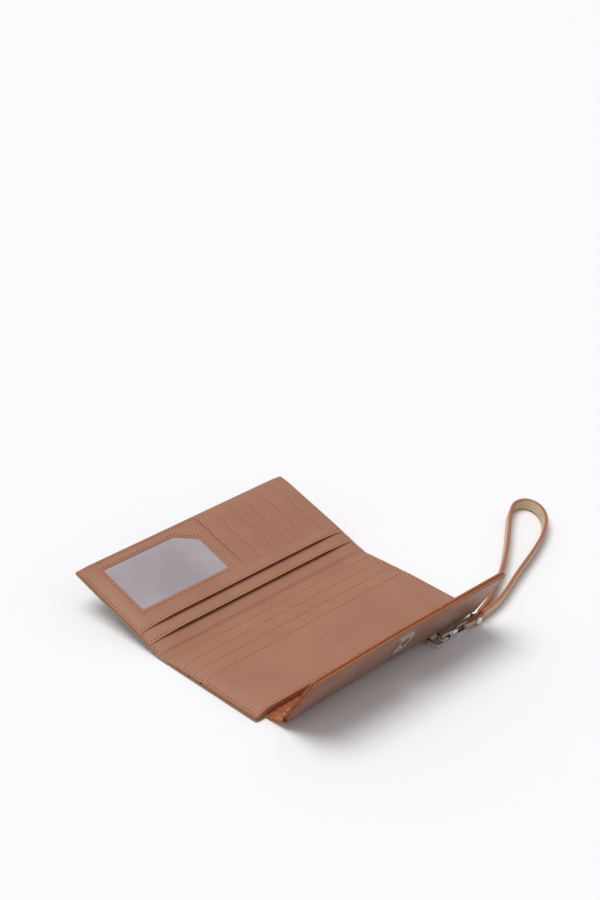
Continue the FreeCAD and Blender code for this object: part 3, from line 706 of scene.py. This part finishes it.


# ---- Stitching ----
# Tan bonded thread, lockstitched at 2.7 mm, each stitch lying between two needle holes, drawn as dark beads
# of painted shade.
STITCH_PITCH = 2.7


def stitch_tree():
    """A node tree that lays one bead, a stitch or a needle hole, at each step along its seams."""
    tree = bpy.data.node_groups.new("stitches", "GeometryNodeTree")
    tree.interface.new_socket("Seams", in_out="INPUT", socket_type="NodeSocketGeometry")
    for name in ("Pitch", "Stitch length", "Thread radius"):
        tree.interface.new_socket(name, in_out="INPUT", socket_type="NodeSocketFloat")
    tree.interface.new_socket("Thread", in_out="INPUT", socket_type="NodeSocketMaterial")
    tree.interface.new_socket("Stitches", in_out="OUTPUT", socket_type="NodeSocketGeometry")

    def add(kind, settings=None, sockets=None):
        made = tree.nodes.new(kind)
        for name, value in (settings or {}).items():
            setattr(made, name, value)
        for name, value in (sockets or {}).items():
            if isinstance(value, bpy.types.NodeSocket):
                tree.links.new(value, made.inputs[name])
            else:
                made.inputs[name].default_value = value
        return made

    given = add("NodeGroupInput").outputs
    steps = add(
        "GeometryNodeResampleCurve", {"mode": "LENGTH"}, {"Curve": given["Seams"], "Length": given["Pitch"]}
    )
    along = add("GeometryNodeInputTangent")
    turn = add("FunctionNodeAlignRotationToVector", {"axis": "Z"}, {"Vector": along.outputs[0]})
    bead = add("GeometryNodeMeshUVSphere", {}, {"Segments": 6, "Rings": 5, "Radius": 0.5})
    radius = given["Thread radius"]
    size = add("ShaderNodeCombineXYZ", {}, {"X": radius, "Y": radius, "Z": given["Stitch length"]})
    across = {0: size.outputs[0], 1: (2.0, 2.0, 1.0)}
    double = add("ShaderNodeVectorMath", {"operation": "MULTIPLY"}, across)
    laying = {"Instance": bead.outputs[0], "Rotation": turn.outputs[0], "Scale": double.outputs[0]}
    laid = add("GeometryNodeInstanceOnPoints", {}, {"Points": steps.outputs[0], **laying})
    real = add("GeometryNodeRealizeInstances", {}, {0: laid.outputs[0]})
    smooth_faces = add("GeometryNodeSetShadeSmooth", {}, {0: real.outputs[0]})
    coloured = add(
        "GeometryNodeSetMaterial", {}, {"Geometry": smooth_faces.outputs[0], "Material": given["Thread"]}
    )
    result = add("NodeGroupOutput")
    tree.links.new(coloured.outputs[0], result.inputs[0])
    return tree


sewing = stitch_tree()
socket_of = {item.name: item.identifier for item in sewing.interface.items_tree if item.in_out == "INPUT"}


def fibre_finish(name, light, dark, rough):
    """A matt, twisted surface in two close colours: thread, and the dark painted shade of needle holes and
    pocket mouths.
    """
    finish = Finish(name, Roughness=rough)
    ply = finish.cloud(2400.0, 2.0)
    return finish.give(
        Base_Color=finish.mix(ply.ramp(0.3, 0.7), light, dark), Normal=finish.bump(ply, 0.4, 0.0001)
    )


tan_thread = fibre_finish("tan_thread", paint(222, 160, 126), paint(192, 130, 98), 0.6)
flap_thread = fibre_finish("flap_thread", paint(150, 92, 66), paint(120, 72, 52), 0.6)
# needle holes: dark beads of painted shade, standing in for the shade inside each hole
needle_hole_shade = fibre_finish("needle_hole_shade", paint(86, 48, 36), paint(104, 62, 46), 0.9)


def sew(name, seams, body, finish, length, radius, phase):
    """Lay stitches along seams, each a row of points in millimetres, starting a phase in from each end."""
    curve = bpy.data.curves.new(name, "CURVE")
    curve.dimensions = "3D"
    for seam in seams:
        run = [Vector(point) for point in seam]
        if phase:
            towards = (run[1] - run[0]).normalized()
            run[0] = run[0] + towards * phase
            towards = (run[-2] - run[-1]).normalized()
            run[-1] = run[-1] - towards * phase
        spline = curve.splines.new("POLY")
        spline.points.add(len(run) - 1)
        for point, place in zip(spline.points, run):
            point.co = (*(c * MM for c in place), 1.0)
    rough = bpy.data.objects.new(name + "_seams", curve)
    scene.collection.objects.link(rough)
    modifier = rough.modifiers.new("sewing", "NODES")
    modifier.node_group = sewing
    for socket, value in (
        ("Pitch", STITCH_PITCH * MM),
        ("Stitch length", length * MM),
        ("Thread radius", radius * MM),
        ("Thread", finish),
    ):
        modifier[socket_of[socket]] = value
    bpy.context.view_layer.update()
    shaped = rough.evaluated_get(bpy.context.evaluated_depsgraph_get())
    mesh = bpy.data.meshes.new_from_object(shaped)
    bpy.data.objects.remove(rough)
    if not len(mesh.materials):
        mesh.materials.append(finish)
    mesh.name = name
    made = bpy.data.objects.new(name, mesh)
    scene.collection.objects.link(made)
    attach(made, body)


def seam_on(start, end, height, lift, place, step=3.0):
    """A straight seam laid on a surface, from one plan point to another."""
    start, end = Vector(start), Vector(end)
    count = max(2, int((end - start).length / step))
    made = []
    for k in range(count + 1):
        x, y = start.lerp(end, k / count)
        point = Vector((x, y, height(x, y) + lift))
        made.append(place @ point)
    return made


THREAD_LONG = 1.9
HOLE_LONG = 0.95
TAN_ROWS = (        # each row's name, finish, stitch length and radius, lift off the leather and phase
    ("thread", tan_thread, THREAD_LONG, 0.33, 0.12, 0.0),
    # the holes row lays dark beads of painted shade
    ("holes", needle_hole_shade, HOLE_LONG, 0.42, -0.1, STITCH_PITCH / 2),
)


def sew_runs(name, runs, place, body, rows=TAN_ROWS, warp=None):
    """Stitches and needle holes along straight runs, each from a point to a point on its own surface."""
    for part, finish, length, radius, lift, phase in rows:
        seams = [seam_on(a, b, height, lift, place) for a, b, height in runs]
        if warp:
            seams = [[warp(point) for point in seam] for seam in seams]
        sew(f"{name}_{part}", seams, body, finish, length, radius, phase)


seam_side = half_long - SIDE_SEAM
seam_front = -half_deep + SIDE_SEAM
panel_runs = [((-seam_side, y), (seam_side, y), panel_top) for y in PANEL_SEAMS]
panel_runs.append(((DIVIDER_X, PANEL_SEAMS[1]), (DIVIDER_X, seam_front), panel_top))
panel_runs.append(((-seam_side, seam_front), (seam_side, seam_front), panel_top))
panel_runs += [((x, PANEL_SEAMS[0]), (x, seam_front), panel_top) for x in (-seam_side, seam_side)]
sew_runs("panel_seam", panel_runs, flat_back, "back")

# ---- Leaf: shell, lining, bill pocket and window panel ----
# The leaf is made as the panel is: khaki outside, a stiffened brown lining, and two long pockets that open
# at the crease. The upper pocket carries a window of frosted film, let in from behind, and six upright card
# slots.
LEAF_DEEP = 91.8
leaf_hinge = hinges["leaf_fold"]
leaf_axis = Vector(leaf_hinge["pos_m"]) / MM
leaf_rise = -leaf_hinge["range_deg"][0]
LEAF_FROM_HINGE = 2.2
leaf_plane = (
    Matrix.Translation(leaf_axis)
    @ Matrix.Rotation(math.radians(leaf_rise), 4, "X")
    @ Matrix.Translation((0, LEAF_FROM_HINGE, -leaf_axis.z))
)
BILL_EDGE = 10.0
ID_EDGE = 21.0
HEM_SEAM = 2.0      # stitching in from a long pocket's edge
LINING_TOP, BILL_TOP, ID_TOP = 3.0, 3.8, 4.6
GAPE_ENDS = 30.0    # a pocket's mouth stands open except this near its ends
GAPE_DEEP = 7.0     # and closes over about this depth
LEAF_DENT = 0.2
leaf_far = LEAF_DEEP - BORDER


def leaf_press(x, w):
    far = 0.62 + 0.38 * smooth((LEAF_DEEP - w) / 12.0)
    return ends_pressed(x, 0.58) * far * (1 + 0.014 * math.sin(x / 19) * math.sin(w / 15 + 1))


shell_leaf = cut_leather(
    "shell_leaf_leather",
    oblong(-half_long, half_long, 0.0, LEAF_DEEP, 0.3, CORNER),
    lambda x, w: 0.0,
    lambda x, w: SHELL_THICK * max(leaf_press(x, w), 0.7),
    leaf_plane,
    shell_finish,
    step=6.0,
    rows_x=shell_rows,
    turn=0.5,
)
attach(shell_leaf, "leaf")
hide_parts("shell_leaf")


def leaf_level(n):
    """The height of a level of the leaf's stack, kept clear of the shell where the stack is pressed."""
    def height(x, w):
        skin = SHELL_THICK * max(leaf_press(x, w), 0.7)
        return skin + (n - SHELL_THICK) * leaf_press(x, w)
    return height


def leaf_sheet(name, near, low, high, seam, gape, next_near, holes=(), nodes=()):
    """One layer of the leaf from its near edge to the far end, open at the near edge by the gape."""
    lower, upper = leaf_level(low + 0.02), leaf_level(high)

    def lift(x, w):
        if not gape:
            return 0.0
        ends = smooth((half_long - SIDE_SEAM - abs(x)) / GAPE_ENDS)
        return gape * ends * math.exp(-max(w - near, 0) / GAPE_DEEP)

    def over(x, w):
        z = upper(x, w) + lift(x, w)
        if seam is not None:
            z -= dent(abs(w - seam))
        z -= dent(abs(abs(x) - (half_long - SIDE_SEAM)), LEAF_DENT)
        if next_near is None:
            z -= dent(abs(w - (LEAF_DEEP - SIDE_SEAM)), LEAF_DENT)
        return z

    def under(x, w):
        z = lower(x, w) + lift(x, w)
        wrap = min(side_x - abs(x), leaf_far - w)
        exposed = next_near is None or w < next_near - 0.4
        if exposed and wrap < COVERED - 0.1:
            z = leaf_level(SHELL_THICK + 0.02)(x, w)
        return min(z, over(x, w) - LEAST_THICK)

    rows_y = [near + 0.5]
    if seam is not None:
        rows_y += seam_lines(seam)
    if next_near is None:
        outline = oblong(-side_x, side_x, near, leaf_far, 0.6, 2.0)
        rows_y += seam_lines(LEAF_DEEP - SIDE_SEAM)
    else:
        outline = stepped_outline(near, next_near + JOG, leaf_far - COVERED)
    sheet = cut_leather(
        name + "_leather",
        outline,
        under,
        over,
        leaf_plane,
        calf,
        holes=holes,
        rows_x=end_lines(),
        rows_y=rows_y,
        turn=0.42,
    )
    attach(sheet, "leaf")
    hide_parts(name, *nodes)
    return over


BILL_SEAM = BILL_EDGE + HEM_SEAM
ID_SEAM = ID_EDGE + HEM_SEAM
lining_top = leaf_sheet(
    "leaf_lining", 0.2, SHELL_THICK, LINING_TOP, None, 0.0, BILL_EDGE, nodes=("leaf_board",)
)
bill_top = leaf_sheet("bill_pocket", BILL_EDGE, LINING_TOP, BILL_TOP, BILL_SEAM, 1.8, ID_EDGE)

# the window's opening, cut across at its far right corner
window_left, window_right = -half_long + 16.3, -half_long + 94.5
window_near, window_far = 36.5, 80.8
window = [
    (window_left, window_near),
    (window_right, window_near),
    (window_right, window_far - 10.8),
    (window_right - 15.0, window_far),
    (window_left, window_far),
]
window_hole = rounded(window, 1.6)[::-1]
id_top = leaf_sheet("id_panel", ID_EDGE, BILL_TOP, ID_TOP, ID_SEAM, 2.0, None, holes=[window_hole])

# a dark sheet of painted shade lies inside each long pocket's mouth and shows as a dark line under the hem
SHADE_SHEET_WIDE = 8.0
SHADE_SHEET_ENDS = 6.0
mouth_shade_finish = fibre_finish("pocket_mouth_shade", paint(62, 36, 26), paint(44, 26, 20), 0.95)


# lays the dark sheet of painted shade inside one pocket's mouth
def mouth_shade_sheet(name, near, beneath):
    ends = side_x - SHADE_SHEET_ENDS
    shade_sheet = cut_leather(
        name,
        oblong(-ends, ends, near + 0.5, near + SHADE_SHEET_WIDE, 0.5),
        lambda x, w: beneath(x, w) + 0.02,
        lambda x, w: beneath(x, w) + 0.12,
        leaf_plane,
        mouth_shade_finish,
        turn=0.05,
    )
    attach(shade_sheet, "leaf")


mouth_shade_sheet("bill_pocket_mouth_shade", BILL_EDGE, lining_top)
mouth_shade_sheet("id_panel_mouth_shade", ID_EDGE, bill_top)

seam_far = LEAF_DEEP - SIDE_SEAM
leaf_runs = [
    ((-seam_side, BILL_SEAM), (seam_side, BILL_SEAM), bill_top),
    ((-seam_side, ID_SEAM), (seam_side, ID_SEAM), id_top),
    ((-seam_side, seam_far), (seam_side, seam_far), id_top),
]
for near, far, surface in (
    (ID_SEAM, seam_far, id_top),
    (BILL_SEAM, ID_EDGE - 0.5, bill_top),
    (2.0, BILL_EDGE - 0.5, lining_top),
):
    leaf_runs += [((x, near), (x, far), surface) for x in (-seam_side, seam_side)]
WINDOW_SEAM = 2.3
window_ring = moved_in(window, -WINDOW_SEAM)
leaf_runs += [(window_ring[k - 1], window_ring[k], id_top) for k in range(len(window_ring))]
sew_runs("leaf_seam", leaf_runs, leaf_plane, "leaf")

# ---- Leaf: the window's film ----
# Frosted vinyl about 0.2 mm thick, a little cloudy, sewn in behind the opening.
film = Finish("frosted_film", Roughness=0.28, Specular_IOR_Level=0.5)
cloudy = film.cloud(26.0, 3.0)
wave = film.cloud(90.0, 2.0)
film_finish = film.give(
    Base_Color=film.mix(cloudy.ramp(0.3, 0.7), paint(166, 158, 162), paint(152, 144, 149)),
    Roughness=0.26 + cloudy * 0.12,
    Normal=film.bump(wave, 0.15, 0.0004),
)
FILM_MARGIN = 4.8
film_low, film_high = leaf_level(BILL_TOP + 0.04), leaf_level(BILL_TOP + 0.26)
window_film = cut_leather(
    "window_film",
    oblong(
        window_left - FILM_MARGIN,
        window_right + FILM_MARGIN,
        window_near - FILM_MARGIN,
        window_far + FILM_MARGIN,
        CORNER,
    ),
    film_low,
    film_high,
    leaf_plane,
    film_finish,
    step=4.0,
    turn=0.12,
)
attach(window_film, "leaf")
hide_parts("id_window")

# ---- Leaf: card slots ----
# Six strips of the same calf lie like shingles, each with a turned and sewn hem over the strip before it.
CARD_FIRST, CARD_PITCH, CARD_COUNT = 8.0, 14.6, 6
CARD_NEAR, CARD_FAR = 25.0, 90.3
CARD_THICK = 0.5
CARD_REACH = 1.6 * CARD_PITCH
CARD_SLOPE = 0.56 / CARD_PITCH
CARD_DROP = CARD_SLOPE * CARD_REACH
CARD_SEAM = 1.9
CARD_SHARE = 0.42     # how much of its height a card strip keeps once pressed flat


def card_strip(number):
    hem = CARD_FIRST + number * CARD_PITCH
    reach = min(CARD_REACH, half_long - 1.5 - hem)

    def settle(x, w):
        ends = smooth((w - CARD_NEAR + 0.4) / 5) * smooth((CARD_FAR + 0.4 - w) / 5)
        return leaf_level(ID_TOP + 0.02)(x, w), leaf_press(x, w) * (0.3 + 0.7 * ends)

    def over(x, w):
        base, share = settle(x, w)
        z = base + (CARD_DROP - (x - hem) * CARD_SLOPE + CARD_THICK) * share * CARD_SHARE
        return z - dent(abs(x - hem - CARD_SEAM), 0.16, 0.6)

    def under(x, w):
        base, share = settle(x, w)
        return min(base + (CARD_DROP - (x - hem) * CARD_SLOPE) * share * CARD_SHARE, over(x, w) - 0.12)

    strip = cut_leather(
        f"leaf_card_{number + 1}_leather",
        oblong(hem, hem + reach, CARD_NEAR, CARD_FAR, 0.8),
        under,
        over,
        leaf_plane,
        calf,
        rows_x=seam_lines(hem + CARD_SEAM),
        step=4.0,
        turn=0.28,
    )
    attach(strip, "leaf")
    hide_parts(f"leaf_card_{number + 1}")
    return ((hem + CARD_SEAM, CARD_NEAR + 2), (hem + CARD_SEAM, CARD_FAR - 2), over)


card_runs = [card_strip(number) for number in range(CARD_COUNT)]
sew_runs("card_seam", card_runs, leaf_plane, "leaf")

# ---- Crease between panel and leaf ----
# The shell and the lining run on without a break: a narrow unstiffened strip of each makes the fold.
FOLD_STEPS = 4      # steps between two points of a fold's section
FOLD_EASINGS = 3    # times that its corners are eased
FOLD_PINCH = 0.35   # the thickness left at a fold's two ends


def fold_strip(name, section, half_width, finish, slot, span, nodes=(), press=None, warp=None):
    """A strip along the wallet whose section is a row of (y, bottom, top). Its span, the two bodies that it
    joins and where it starts and ends to bend, is not used."""
    near_ends = [side * (half_width - d) for side in (-1, 1) for d in (0.0, 0.4, 1.0, 2.0)]
    xs = sorted({*np.arange(-half_width + 3, half_width - 2, 4.0), *near_ends})
    fine = []
    for (y0, z0, t0), (y1, z1, t1) in zip(section, section[1:]):
        for k in range(FOLD_STEPS):
            t = k / FOLD_STEPS
            fine.append((y0 + (y1 - y0) * t, z0 + (z1 - z0) * t, t0 + (t1 - t0) * t))
    fine.append(section[-1])
    rows = np.array(fine)
    for _ in range(FOLD_EASINGS):
        rows[1:-1] = (rows[:-2] + 2 * rows[1:-1] + rows[2:]) / 4
    count = len(rows)
    points, faces, edge = [], [], []
    for x in xs:
        ends = abs(abs(x) - half_width) < 1e-6
        for face in (1, -1):
            for y, low, high in rows:
                share = press(x, y) if press else 1.0
                half = (high - low) / 2 * (FOLD_PINCH if ends else 1.0)
                points.append(Vector((x, y, ((low + high) / 2 + face * half) * share)))
        edge += [1.0 if ends or half_width - abs(x) < 0.5 else 0.0] * (2 * count)
    for k in range(len(xs) - 1):
        a, b = k * 2 * count, (k + 1) * 2 * count
        for j in range(count - 1):
            faces.append((a + j, b + j, b + j + 1, a + j + 1))
            faces.append((a + count + j, a + count + j + 1, b + count + j + 1, b + count + j))
        faces.append((a, a + count, b + count, b))
        faces.append((a + count - 1, b + count - 1, b + 2 * count - 1, a + 2 * count - 1))
    last = (len(xs) - 1) * 2 * count
    for j in range(count - 1):
        faces.append((j, j + 1, count + j + 1, count + j))
        faces.append((last + j, last + count + j, last + count + j + 1, last + j + 1))
    if warp:
        points = [warp(point) for point in points]
    piece = new_piece(name, points, faces, {"edge": edge}, finish)
    bm = bmesh.new()
    bm.from_mesh(piece.data)
    bmesh.ops.recalc_face_normals(bm, faces=bm.faces[:])
    bm.to_mesh(piece.data)
    bm.free()
    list(span)
    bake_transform(piece)
    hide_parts(*nodes)


def leaf_point(w, n):
    point = leaf_plane @ Vector((0, w, n))
    return point.y, point.z


skin_low, skin_high = leaf_point(1.2, 0.0), leaf_point(1.2, SHELL_THICK)
crease_span = ("back", "leaf", (0, 0.0446, 0.002), (0, leaf_point(0.4, 1.0)[0] * MM, 0.002))
crease_section = [
    (43.0, 0.02, 1.2),
    (45.5, 0.02, 1.2),
    (48.0, 0.02, 1.2),
    (50.5, 0.05, 1.25),
    (52.6, 0.45, 1.75),
    (skin_low[0], skin_low[1] + 0.05, skin_high[1]),
    (leaf_point(3.0, 0)[0], leaf_point(3.0, 0.05)[1], leaf_point(3.0, 1.2)[1]),
]
fold_strip(
    "crease_leather",
    crease_section,
    half_long,
    shell_finish,
    "khaki_leather",
    crease_span,
    ["fold_leather"],
)
crease_lining_section = [
    (42.0, 1.5, 2.5),
    (44.4, 1.5, 2.9),
    (46.6, 1.35, 2.35),
    (49.0, 1.3, 2.1),
    (51.3, 1.5, 2.5),
    (leaf_point(0.8, 2.8)[0] - 0.8, 2.2, leaf_point(0.8, 2.8)[1] - 0.25),
    (leaf_point(2.0, 2.8)[0], leaf_point(2.0, 1.5)[1], leaf_point(2.0, 2.75)[1]),
]
fold_strip(
    "crease_lining",
    crease_lining_section,
    side_x,
    calf,
    "brown_leather",
    crease_span,
    ["fold_lining"],
    press=lambda x, y: ends_pressed(x, 0.8),
)

# ---- Spine strip ----
# A narrow strip hinged on the shell's front edge: pebbled brown outside, and inside an orange-brown calf
# embossed like crocodile. It sags a little towards its free left end.
STRIP_HALF = LONG / 2 - 8.0
SPINE_RISE = 24.0
FLAP_RISE = 57.9
FLAP_DEEP = 52.6
SAG = 2.0
SAG_FROM = -14.0
STRIP_DEEP = 14.2
FROM_HINGE = 1.0    # the strip and the flap each start this far from their hinge
spine_axis = Vector(hinges["spine_fold"]["pos_m"]) / MM
flap_axis = Vector(hinges["flap_fold"]["pos_m"]) / MM
spine_plane = Matrix.Translation(spine_axis) @ Matrix.Rotation(math.radians(-SPINE_RISE), 4, "X")
flap_plane = Matrix.Translation(flap_axis) @ Matrix.Rotation(math.radians(-FLAP_RISE), 4, "X")


def sagged(point):
    """The strip and flap hang lower towards the left, from the lock outwards."""
    share = smooth((spine_axis.y - point.y) / (spine_axis.y - flap_axis.y))
    across = min(max((SAG_FROM - point.x) / (STRIP_HALF + SAG_FROM), 0.0), 1.0) ** 1.3
    return Vector((point.x, point.y, point.z - SAG * share * across))


def croc_leather(name, face, groove, edge):
    """Calf embossed with rounded scales about 5 mm across, glossy on the scales and dark between them."""
    finish = Finish(name, Specular_IOR_Level=0.55)
    rim = finish.mark("edge")
    scale = finish.pebble(215.0, "DISTANCE_TO_EDGE").ramp(0.02, 0.2)
    small = finish.pebble(620.0, "DISTANCE_TO_EDGE").ramp(0.0, 0.18)
    patch = finish.cloud(120.0, 3.0)
    colour = finish.mix(scale * 0.8 + small * 0.2, groove, face)
    colour = finish.mix(patch.ramp(0.4, 0.75) * 0.35, colour, groove)
    colour = finish.mix(rim.ramp(0.6, 0.95) * 0.7, colour, edge)
    return finish.give(
        Base_Color=colour,
        Roughness=0.3 + patch * 0.18 + (1 - scale) * 0.2,
        Normal=finish.bump(scale + small * 0.4 + patch * 0.2, 0.6, 0.00035),
    )


croc = croc_leather("croc_calf", paint(184, 112, 66), paint(128, 68, 34), paint(160, 90, 48))
flap_outside = calf_leather(
    "flap_pebbled", paint(144, 102, 82), paint(122, 83, 66), paint(158, 90, 48), 1000.0, 0.33, 0.75
)
strip_edge = oblong(-STRIP_HALF, STRIP_HALF, -STRIP_DEEP, -FROM_HINGE, 1.2)
spine_outer = cut_leather(
    "spine_outer_leather",
    strip_edge,
    lambda x, y: -1.2,
    lambda x, y: -0.2,
    spine_plane,
    flap_outside,
    step=4.0,
    turn=0.5,
    warp=sagged,
)
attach(spine_outer, "spine")
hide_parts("spine_outer")
STRIP_SEAM = 2.0    # dents near the strip's two ends, as of a seam
spine_lining = cut_leather(
    "spine_lining_leather",
    strip_edge,
    lambda x, y: -0.19,
    lambda x, y: 0.95 - dent(abs(abs(x) - (STRIP_HALF - STRIP_SEAM)), 0.3),
    spine_plane,
    croc,
    rows_x=seam_lines(-STRIP_HALF + STRIP_SEAM, STRIP_HALF - STRIP_SEAM),
    step=4.0,
    turn=0.5,
    warp=sagged,
)
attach(spine_lining, "spine")
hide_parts("spine_lining", "spine_board")

# ---- Flap ----
# The closing flap is two panels glued back to back with their edges turned in: pebbled brown outside,
# embossed calf inside, a board between them and a slot for the turn lock.
LOCK_DOWN = 31.5
LOCK_SLOT = (15.8, 7.2)
LOCK_RECESS = (24.4, 12.4)


def lock_hole(long_way, wide_way, steps=10):
    """An oval outline lying along Y at the lock, going round the other way so that it cuts a hole."""
    r, half = wide_way / 2, (long_way - wide_way) / 2
    made = []
    for side, start in ((1, 0), (-1, 180)):
        for k in range(steps + 1):
            a = math.radians(start + 180 * k / steps)
            made.append((r * math.cos(a), -LOCK_DOWN + side * half + r * math.sin(a)))
    return made[::-1]


flap_edge = oblong(-STRIP_HALF, STRIP_HALF, -FLAP_DEEP, -FROM_HINGE, 5.0, 0.6)
FLAP_SEAM = 2.8
seam_low = -FLAP_DEEP + FLAP_SEAM
flap_seam_x = STRIP_HALF - FLAP_SEAM


def flap_dent(x, y, deep):
    return dent(min(abs(abs(x) - flap_seam_x), abs(y - seam_low)), deep)


def flap_face(x, y):
    return -2.0 + flap_dent(x, y, 0.3)


flap_outer = cut_leather(
    "flap_outer_leather",
    flap_edge,
    flap_face,
    lambda x, y: -0.03,
    flap_plane,
    flap_outside,
    holes=[lock_hole(*LOCK_SLOT)],
    rows_x=seam_lines(-flap_seam_x, flap_seam_x),
    rows_y=seam_lines(seam_low),
    step=4.0,
    turn=0.95,
    warp=sagged,
)
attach(flap_outer, "flap")
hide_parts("flap_outer")
flap_lining = cut_leather(
    "flap_lining_leather",
    flap_edge,
    lambda x, y: 0.03,
    lambda x, y: 1.95 - flap_dent(x, y, 0.25),
    flap_plane,
    croc,
    holes=[lock_hole(*LOCK_RECESS)],
    rows_x=seam_lines(-flap_seam_x, flap_seam_x),
    rows_y=seam_lines(seam_low),
    step=4.0,
    turn=0.95,
    warp=sagged,
)
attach(flap_lining, "flap")
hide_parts("flap_lining", "flap_board")

# ---- Folds either side of the spine strip ----
# The strip is joined to the shell and to the flap by unstiffened leather that bends at each edge.


def plane_point(plane, along, n):
    point = plane @ Vector((0, -along, n))
    return point.y, point.z


def section_at(plane, along, under, over):
    """A fold's section point where it lies on the strip or the flap: its y, bottom and top."""
    low, high = plane_point(plane, along, under), plane_point(plane, along, over)
    return (low[0] + high[0]) / 2, low[1], high[1]


def on_strip(along, under, over):
    return section_at(spine_plane, along, under, over)


def on_flap(along, under, over):
    return section_at(flap_plane, along, under, over)


front_span = ("back", "spine", (0, -0.0447, 0.001), (0, plane_point(spine_plane, 0.8, -0.6)[0] * MM, 0.001))
front_lining_section = [
    (-42.7, 1.15, 1.7),
    (-44.0, 1.15, 1.75),
    (-45.4, 1.2, 1.85),
    on_strip(-0.4, -0.1, 0.7),
    on_strip(0.8, -0.1, 0.85),
    on_strip(1.8, 0.0, 0.85),
]
front_section = [
    (-42.6, 0.05, 1.1),
    (-44.4, 0.05, 1.1),
    (-45.6, 0.1, 1.1),
    on_strip(0.6, -1.2, -0.3),
    on_strip(1.8, -1.15, -0.25),
    on_strip(2.8, -1.1, -0.25),
]
bend_places = (plane_point(spine_plane, 13.9, 0), plane_point(flap_plane, 1.3, 0))
bend_span = ("spine", "flap", *((0, y * MM, z * MM) for y, z in bend_places))
bend_outer_section = [
    on_strip(12.3, -1.15, -0.3),
    on_strip(13.7, -1.3, -0.2),
    on_strip(14.9, -1.55, -0.1),
    on_flap(1.0, -1.85, -0.2),
    on_flap(2.6, -1.95, -0.2),
]
bend_lining_section = [
    on_strip(12.4, 0.1, 0.85),
    on_strip(13.5, 0.0, 0.85),
    on_strip(14.5, -0.1, 0.75),
    on_flap(0.9, 0.1, 1.3),
    on_flap(2.0, 0.2, 1.75),
]
LINING_INSET = 0.3
for name, section, inset, finish, slot, span, nodes in (
    ("front_fold_lining", front_lining_section, LINING_INSET, croc, "croc_leather", front_span, []),
    ("front_fold_leather", front_section, 0.0, shell_finish, "khaki_leather", front_span, ["front_fold"]),
    ("bend_outer_leather", bend_outer_section, 0.0, flap_outside, "flap_leather", bend_span, []),
    ("bend_lining_leather", bend_lining_section, LINING_INSET, croc, "croc_leather", bend_span, []),
):
    fold_strip(name, section, STRIP_HALF - inset, finish, slot, span, nodes, warp=sagged)

# ---- Ring tab ----
# The strap's ring hangs in a small loop of khaki leather, whose two ends are sewn to the strip's underside.
TAB_ROUTE = [
    (8.6, -1.65),
    (10.0, -1.65),
    (12.0, -1.7),
    (13.36, -1.78),
    (14.53, -2.26),
    (15.01, -3.43),
    (14.53, -4.6),
    (13.36, -5.08),
    (12.0, -4.6),
    (10.8, -3.5),
    (10.0, -2.65),
    (8.6, -2.5),
]
TAB_X = 50.0
TAB_WIDE = 7.0
TAB_THICK = 0.8
tab_line = [Vector((TAB_X, *plane_point(spine_plane, along, n))) for along, n in TAB_ROUTE]
ring_tab = ribbon("ring_tab_leather", tab_line, TAB_THICK, TAB_WIDE, strap_finish, Vector((1, 0, 0)))
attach(ring_tab, "spine")
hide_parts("ring_tab")

# ---- Flap stitching ----
# A finer, darker thread sews the flap's two panels together along its free edge and both ends.
FLAP_ROWS = (
    ("thread", flap_thread, THREAD_LONG, 0.24, -0.04, 0.0),
    # the holes row lays dark beads of painted shade
    ("holes", needle_hole_shade, HOLE_LONG, 0.34, 0.12, STITCH_PITCH / 2),
)
flap_runs = [
    ((-flap_seam_x, -2.0), (-flap_seam_x, seam_low), flap_face),
    ((-flap_seam_x, seam_low), (flap_seam_x, seam_low), flap_face),
    ((flap_seam_x, seam_low), (flap_seam_x, -2.0), flap_face),
]
sew_runs("flap_seam", flap_runs, flap_plane, "flap", FLAP_ROWS, sagged)
